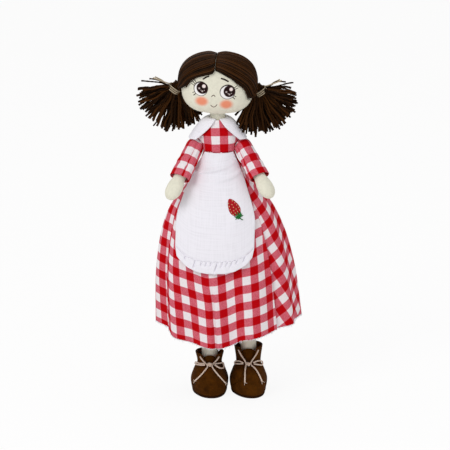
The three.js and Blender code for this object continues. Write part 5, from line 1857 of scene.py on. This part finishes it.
def sole_form(side):
    """Sole of even thickness with rounded edges."""
    levels = np.r_[0, 0, np.linspace(0.4, SOLE_THICKNESS - 0.3, 6), SOLE_THICKNESS, SOLE_THICKNESS]
    grow = np.r_[0, -0.6, 0.3 * np.sin(np.linspace(0, np.pi, 6)), -0.5, 0]
    angle = round_angles(SOLE_STEPS)
    rows = np.array([shoe_points(side, angle, z, g) for z, g in zip(levels, grow)])
    for k in (0, -1):
        rows[k] = rows[k].mean(0)
    form = Form()
    form.grid(rows)
    return form


def vamp_form(side):
    """Felt over the toes, up to the foot of the tongue."""
    z = np.linspace(SOLE_THICKNESS + CLEARANCE, VAMP_TOP, VAMP_ROWS)[:, None]
    limit = shoe_angle(side, VAMP_TOP_HALF + (VAMP_TOP - z) / VAMP_SLOPE, z)
    angle = lerp(limit, np.pi - limit, np.linspace(0, 1, VAMP_STEPS)[None])
    form = Form()
    form.sheet(shoe_points(side, angle, z), FELT, inside=shoe_middle(side))
    return form


def quarter_form(side):
    """Felt round the heel and the ankle, open at the front, with its corners turned out a little."""
    high = SHOE_HEIGHT[side]
    z = np.linspace(SOLE_THICKNESS + CLEARANCE, high, QUARTER_ROWS)[:, None]
    edge = VAMP_TOP + CLEARANCE
    seam = VAMP_TOP_HALF + CLEARANCE + (edge - z) / VAMP_SLOPE
    notch = lerp(*NOTCH_HALF, (z - FOOT_TOP) / (high + FELT - FOOT_TOP))
    limit = shoe_angle(side, np.where(z < edge, seam, notch), z) - 0.01
    angle = lerp(np.pi - limit, 2 * np.pi + limit, np.linspace(0, 1, QUARTER_STEPS)[None])
    from_back = np.abs(np.linspace(-1, 1, QUARTER_STEPS))[None]
    flap = smooth(0.55, 1, (z - edge) / (high - edge)) * smooth(0.75, 1, from_back)
    form = Form()
    form.sheet(shoe_points(side, angle, z, FLAP_TURN * flap), FELT, inside=shoe_middle(side))
    return form


def tongue_form(side):
    """Rounded tongue behind the quarter's opening."""
    share = np.linspace(-1, 1, TONGUE_STEPS)[None]
    base = FOOT_TOP + FELT + CLEARANCE
    part = np.linspace(0, 1, TONGUE_ROWS)[:, None]
    z = base + part * (SHOE_HEIGHT[side] - TONGUE_DROP - base - TONGUE_ROUNDING * share ** 2 * part)
    points = shoe_points(side, np.pi / 2 - share * np.pi / 4, z, -FELT - 4 * CLEARANCE)
    form = Form()
    form.sheet(points, FELT, inside=(shoe_middle(side)[0], 0, 40))
    return form


class DOLL_OT_shoes(bpy.types.Operator):
    """Felt shoes: sole, vamp, quarter open at the front, and tongue"""

    bl_idname = "doll.shoes"
    bl_label = "Shoes"

    def execute(self, context):
        shoes = context.scene.doll_shoes
        felt = finish_once("brown_wool_felt", wool_felt, tuple(shoes.felt), tuple(shoes.nap))
        dark = finish_once("dark_wool_felt", wool_felt, tuple(shoes.sole), tuple(shoes.felt))
        for side in SIDES:
            high = SHOE_HEIGHT[side]
            sole = sole_form(side).build(f"{side}_sole_felt", dark)
            settle(sole, f"{side}_leg", "sole_felt", f"{side}_shoe_sole")
            taller = high - SHOE_HEIGHT["right"]
            flats = {
                "vamp": (vamp_form(side), 0.066, 0.040, 0.00155),
                "quarter": (quarter_form(side), 0.125, (high + 2) * MM, (4145 + 75 * taller) * MM * MM),
                "tongue": (tongue_form(side), 0.0185, (high - FOOT_TOP - 2) * MM, None),
            }
            for name, (form, wide, long, area) in flats.items():
                piece = form.build(f"{side}_{name}_felt", felt)
                settle(piece, f"{side}_leg", "shoe_felt", f"{side}_shoe_{name}")
        return {"FINISHED"}


class DOLL_OT_fittings(bpy.types.Operator):
    """Finishes of the hidden thread, buttons and insoles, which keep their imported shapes"""

    bl_idname = "doll.fittings"
    bl_label = "Fittings"

    def execute(self, context):
        button = finish_once("shell_button", plain_fitting, linear(BUTTON_COLOUR), 0.35)
        board = finish_once("pressed_card", plain_fitting, linear(CARD_COLOUR), 0.9)
        thread = finish_once("linen_thread", plain_fitting, linear(LINEN_COLOUR), 0.8)
        finishes = {"shoulder_thread": thread}
        for side in SIDES:
            finishes[f"{side}_shoulder_button"] = button
            finishes[f"{side}_insole"] = board
        for node, made in finishes.items():
            materials = frame["nodes"][node].data.materials
            materials.clear()
            materials.append(made)
        return {"FINISHED"}


# Stage


def add_camera(context, stage):
    """Camera at the photograph's height and distance."""
    lens = bpy.data.cameras.new("camera")
    lens.sensor_width = SENSOR
    lens.lens = SENSOR * stage.distance / stage.view_width
    lens.clip_end = CLIP_END
    camera = bpy.data.objects.new("camera", lens)
    away = Vector((0, -math.cos(stage.elevation), math.sin(stage.elevation)))
    camera.location = Vector(AIM) + stage.distance * away
    camera.rotation_euler = away.to_track_quat("Z", "Y").to_euler()
    context.scene.collection.objects.link(camera)
    context.scene.camera = camera


def add_lamps(context):
    """Soft round lamps that face the doll."""
    for lamp in LAMPS:
        light = bpy.data.lights.new(lamp["name"], "AREA")
        light.shape = "DISK"
        light.size = lamp["size"]
        light.energy = lamp["power"]
        made = bpy.data.objects.new(lamp["name"], light)
        made.location = lamp["place"]
        made.rotation_euler = (made.location - Vector(AIM)).to_track_quat("Z", "Y").to_euler()
        context.scene.collection.objects.link(made)


def add_world(context):
    """White surroundings for the eye, and a dimmer light from all sides for the doll."""
    world = bpy.data.worlds.new("studio")
    context.scene.world = world
    world.use_nodes = True
    tree = world.node_tree
    tree.nodes.clear()
    path = add_node(tree, "ShaderNodeLightPath", {})
    rays = [path.outputs[f"Is {kind} Ray"] for kind in ("Camera", "Glossy", "Transmission")]
    seen = add_node(tree, "ShaderNodeMath", {0: rays[0], 1: rays[1]}, operation="MAXIMUM")
    seen = add_node(tree, "ShaderNodeMath", {0: seen, 1: rays[2]}, operation="MAXIMUM")
    ambient = add_node(tree, "ShaderNodeBackground", {0: opaque((1, 1, 1)), 1: AMBIENT})
    white = add_node(tree, "ShaderNodeBackground", {0: opaque((1, 1, 1)), 1: 1.0})
    mixed = add_node(tree, "ShaderNodeMixShader", {0: seen, 1: ambient, 2: white})
    add_node(tree, "ShaderNodeOutputWorld", {0: mixed})


def studio_floor(name, colour):
    """Painted studio floor: matt and nearly white, so that only a soft shadow shows."""
    made, tree, shader = new_finish(name, Roughness=0.9, Specular_IOR_Level=0.1)
    where = add_node(tree, "ShaderNodeTexCoord", {})
    clouds = add_node(tree, "ShaderNodeTexNoise", patches(where, 60.0))
    grain = shaded(tree, clouds, 0.3, 0.7, darker(colour, 0.01), colour)
    tree.links.new(grain.outputs[MIX_RESULT], shader.inputs["Base Color"])
    path = add_node(tree, "ShaderNodeLightPath", {})
    ray = path.outputs["Is Camera Ray"]
    share = add_node(tree, "ShaderNodeMath", {0: ray, 1: FLOOR_GLOW}, operation="MULTIPLY")
    glow = add_node(tree, "ShaderNodeEmission", {0: opaque((1, 1, 1)), 1: 1.0})
    mixed = add_node(tree, "ShaderNodeMixShader", {0: share, 1: shader, 2: glow})
    tree.links.new(mixed.outputs[0], tree.nodes["Material Output"].inputs["Surface"])
    return made


def add_floor(context, colour):
    """Pale floor just under the soles."""
    mesh = bpy.data.meshes.new("floor")
    half = FLOOR_HALF
    corners = [(-half, -half, 0), (half, -half, 0), (half, half, 0), (-half, half, 0)]
    mesh.from_pydata(corners, [], [(0, 1, 2, 3)])
    mesh.materials.append(studio_floor("studio_floor", colour))
    floor = bpy.data.objects.new("floor", mesh)
    floor.location.z = -FLOOR_DROP
    context.scene.collection.objects.link(floor)


class DOLL_OT_stage(bpy.types.Operator):
    """Pale floor, soft lamps, and a camera at the photograph's height and distance"""

    bl_idname = "doll.stage"
    bl_label = "Stage"

    def execute(self, context):
        stage = context.scene.doll_stage
        add_camera(context, stage)
        add_lamps(context)
        add_world(context)
        add_floor(context, tuple(stage.floor))
        context.scene.view_settings.view_transform = "Standard"
        return {"FINISHED"}


# In the order in which the pieces are made
OPERATORS = [
    DOLL_OT_stage,
    DOLL_OT_laces,
    DOLL_OT_ties,
    DOLL_OT_torso,
    DOLL_OT_neck,
    DOLL_OT_legs,
    DOLL_OT_head,
    DOLL_OT_hair,
    DOLL_OT_pigtails,
    DOLL_OT_bodice,
    DOLL_OT_skirt,
    DOLL_OT_apron,
    DOLL_OT_strawberry,
    DOLL_OT_collar,
    DOLL_OT_arms,
    DOLL_OT_sleeves,
    DOLL_OT_shoes,
    DOLL_OT_fittings,
]


class DOLL_PT_pieces(bpy.types.Panel):
    """Lists the doll's settings and the operators that make its pieces."""

    bl_label = "Rag doll"
    bl_idname = "DOLL_PT_pieces"
    bl_space_type = "VIEW_3D"
    bl_region_type = "UI"
    bl_category = "Rag doll"

    def draw(self, context):
        """Settings of each group, then a button for each piece."""
        for name, group in GROUPS.items():
            box = self.layout.box()
            for setting in group.__annotations__:
                box.prop(getattr(context.scene, name), setting)
        for made in OPERATORS:
            self.layout.operator(made.bl_idname)


CLASSES = [*GROUPS.values(), *OPERATORS, DOLL_PT_pieces]


def register():
    """Registers the classes and gives the scene its settings."""
    for made in CLASSES:
        bpy.utils.register_class(made)
    for name, group in GROUPS.items():
        setattr(bpy.types.Scene, name, PointerProperty(type=group))


def unregister():
    """Takes the settings and the classes away again."""
    for name in GROUPS:
        delattr(bpy.types.Scene, name)
    for made in reversed(CLASSES):
        bpy.utils.unregister_class(made)


def main():
    """Makes every piece in order."""
    register()
    bpy.ops.doll.stage()
    bpy.ops.doll.laces()
    bpy.ops.doll.ties()
    bpy.ops.doll.torso()
    bpy.ops.doll.neck()
    bpy.ops.doll.legs()
    bpy.ops.doll.head()
    bpy.ops.doll.hair()
    bpy.ops.doll.pigtails()
    bpy.ops.doll.bodice()
    bpy.ops.doll.skirt()
    bpy.ops.doll.apron()
    bpy.ops.doll.strawberry()
    bpy.ops.doll.collar()
    bpy.ops.doll.arms()
    bpy.ops.doll.sleeves()
    bpy.ops.doll.shoes()
    bpy.ops.doll.fittings()


if __name__ == "__main__":
    main()
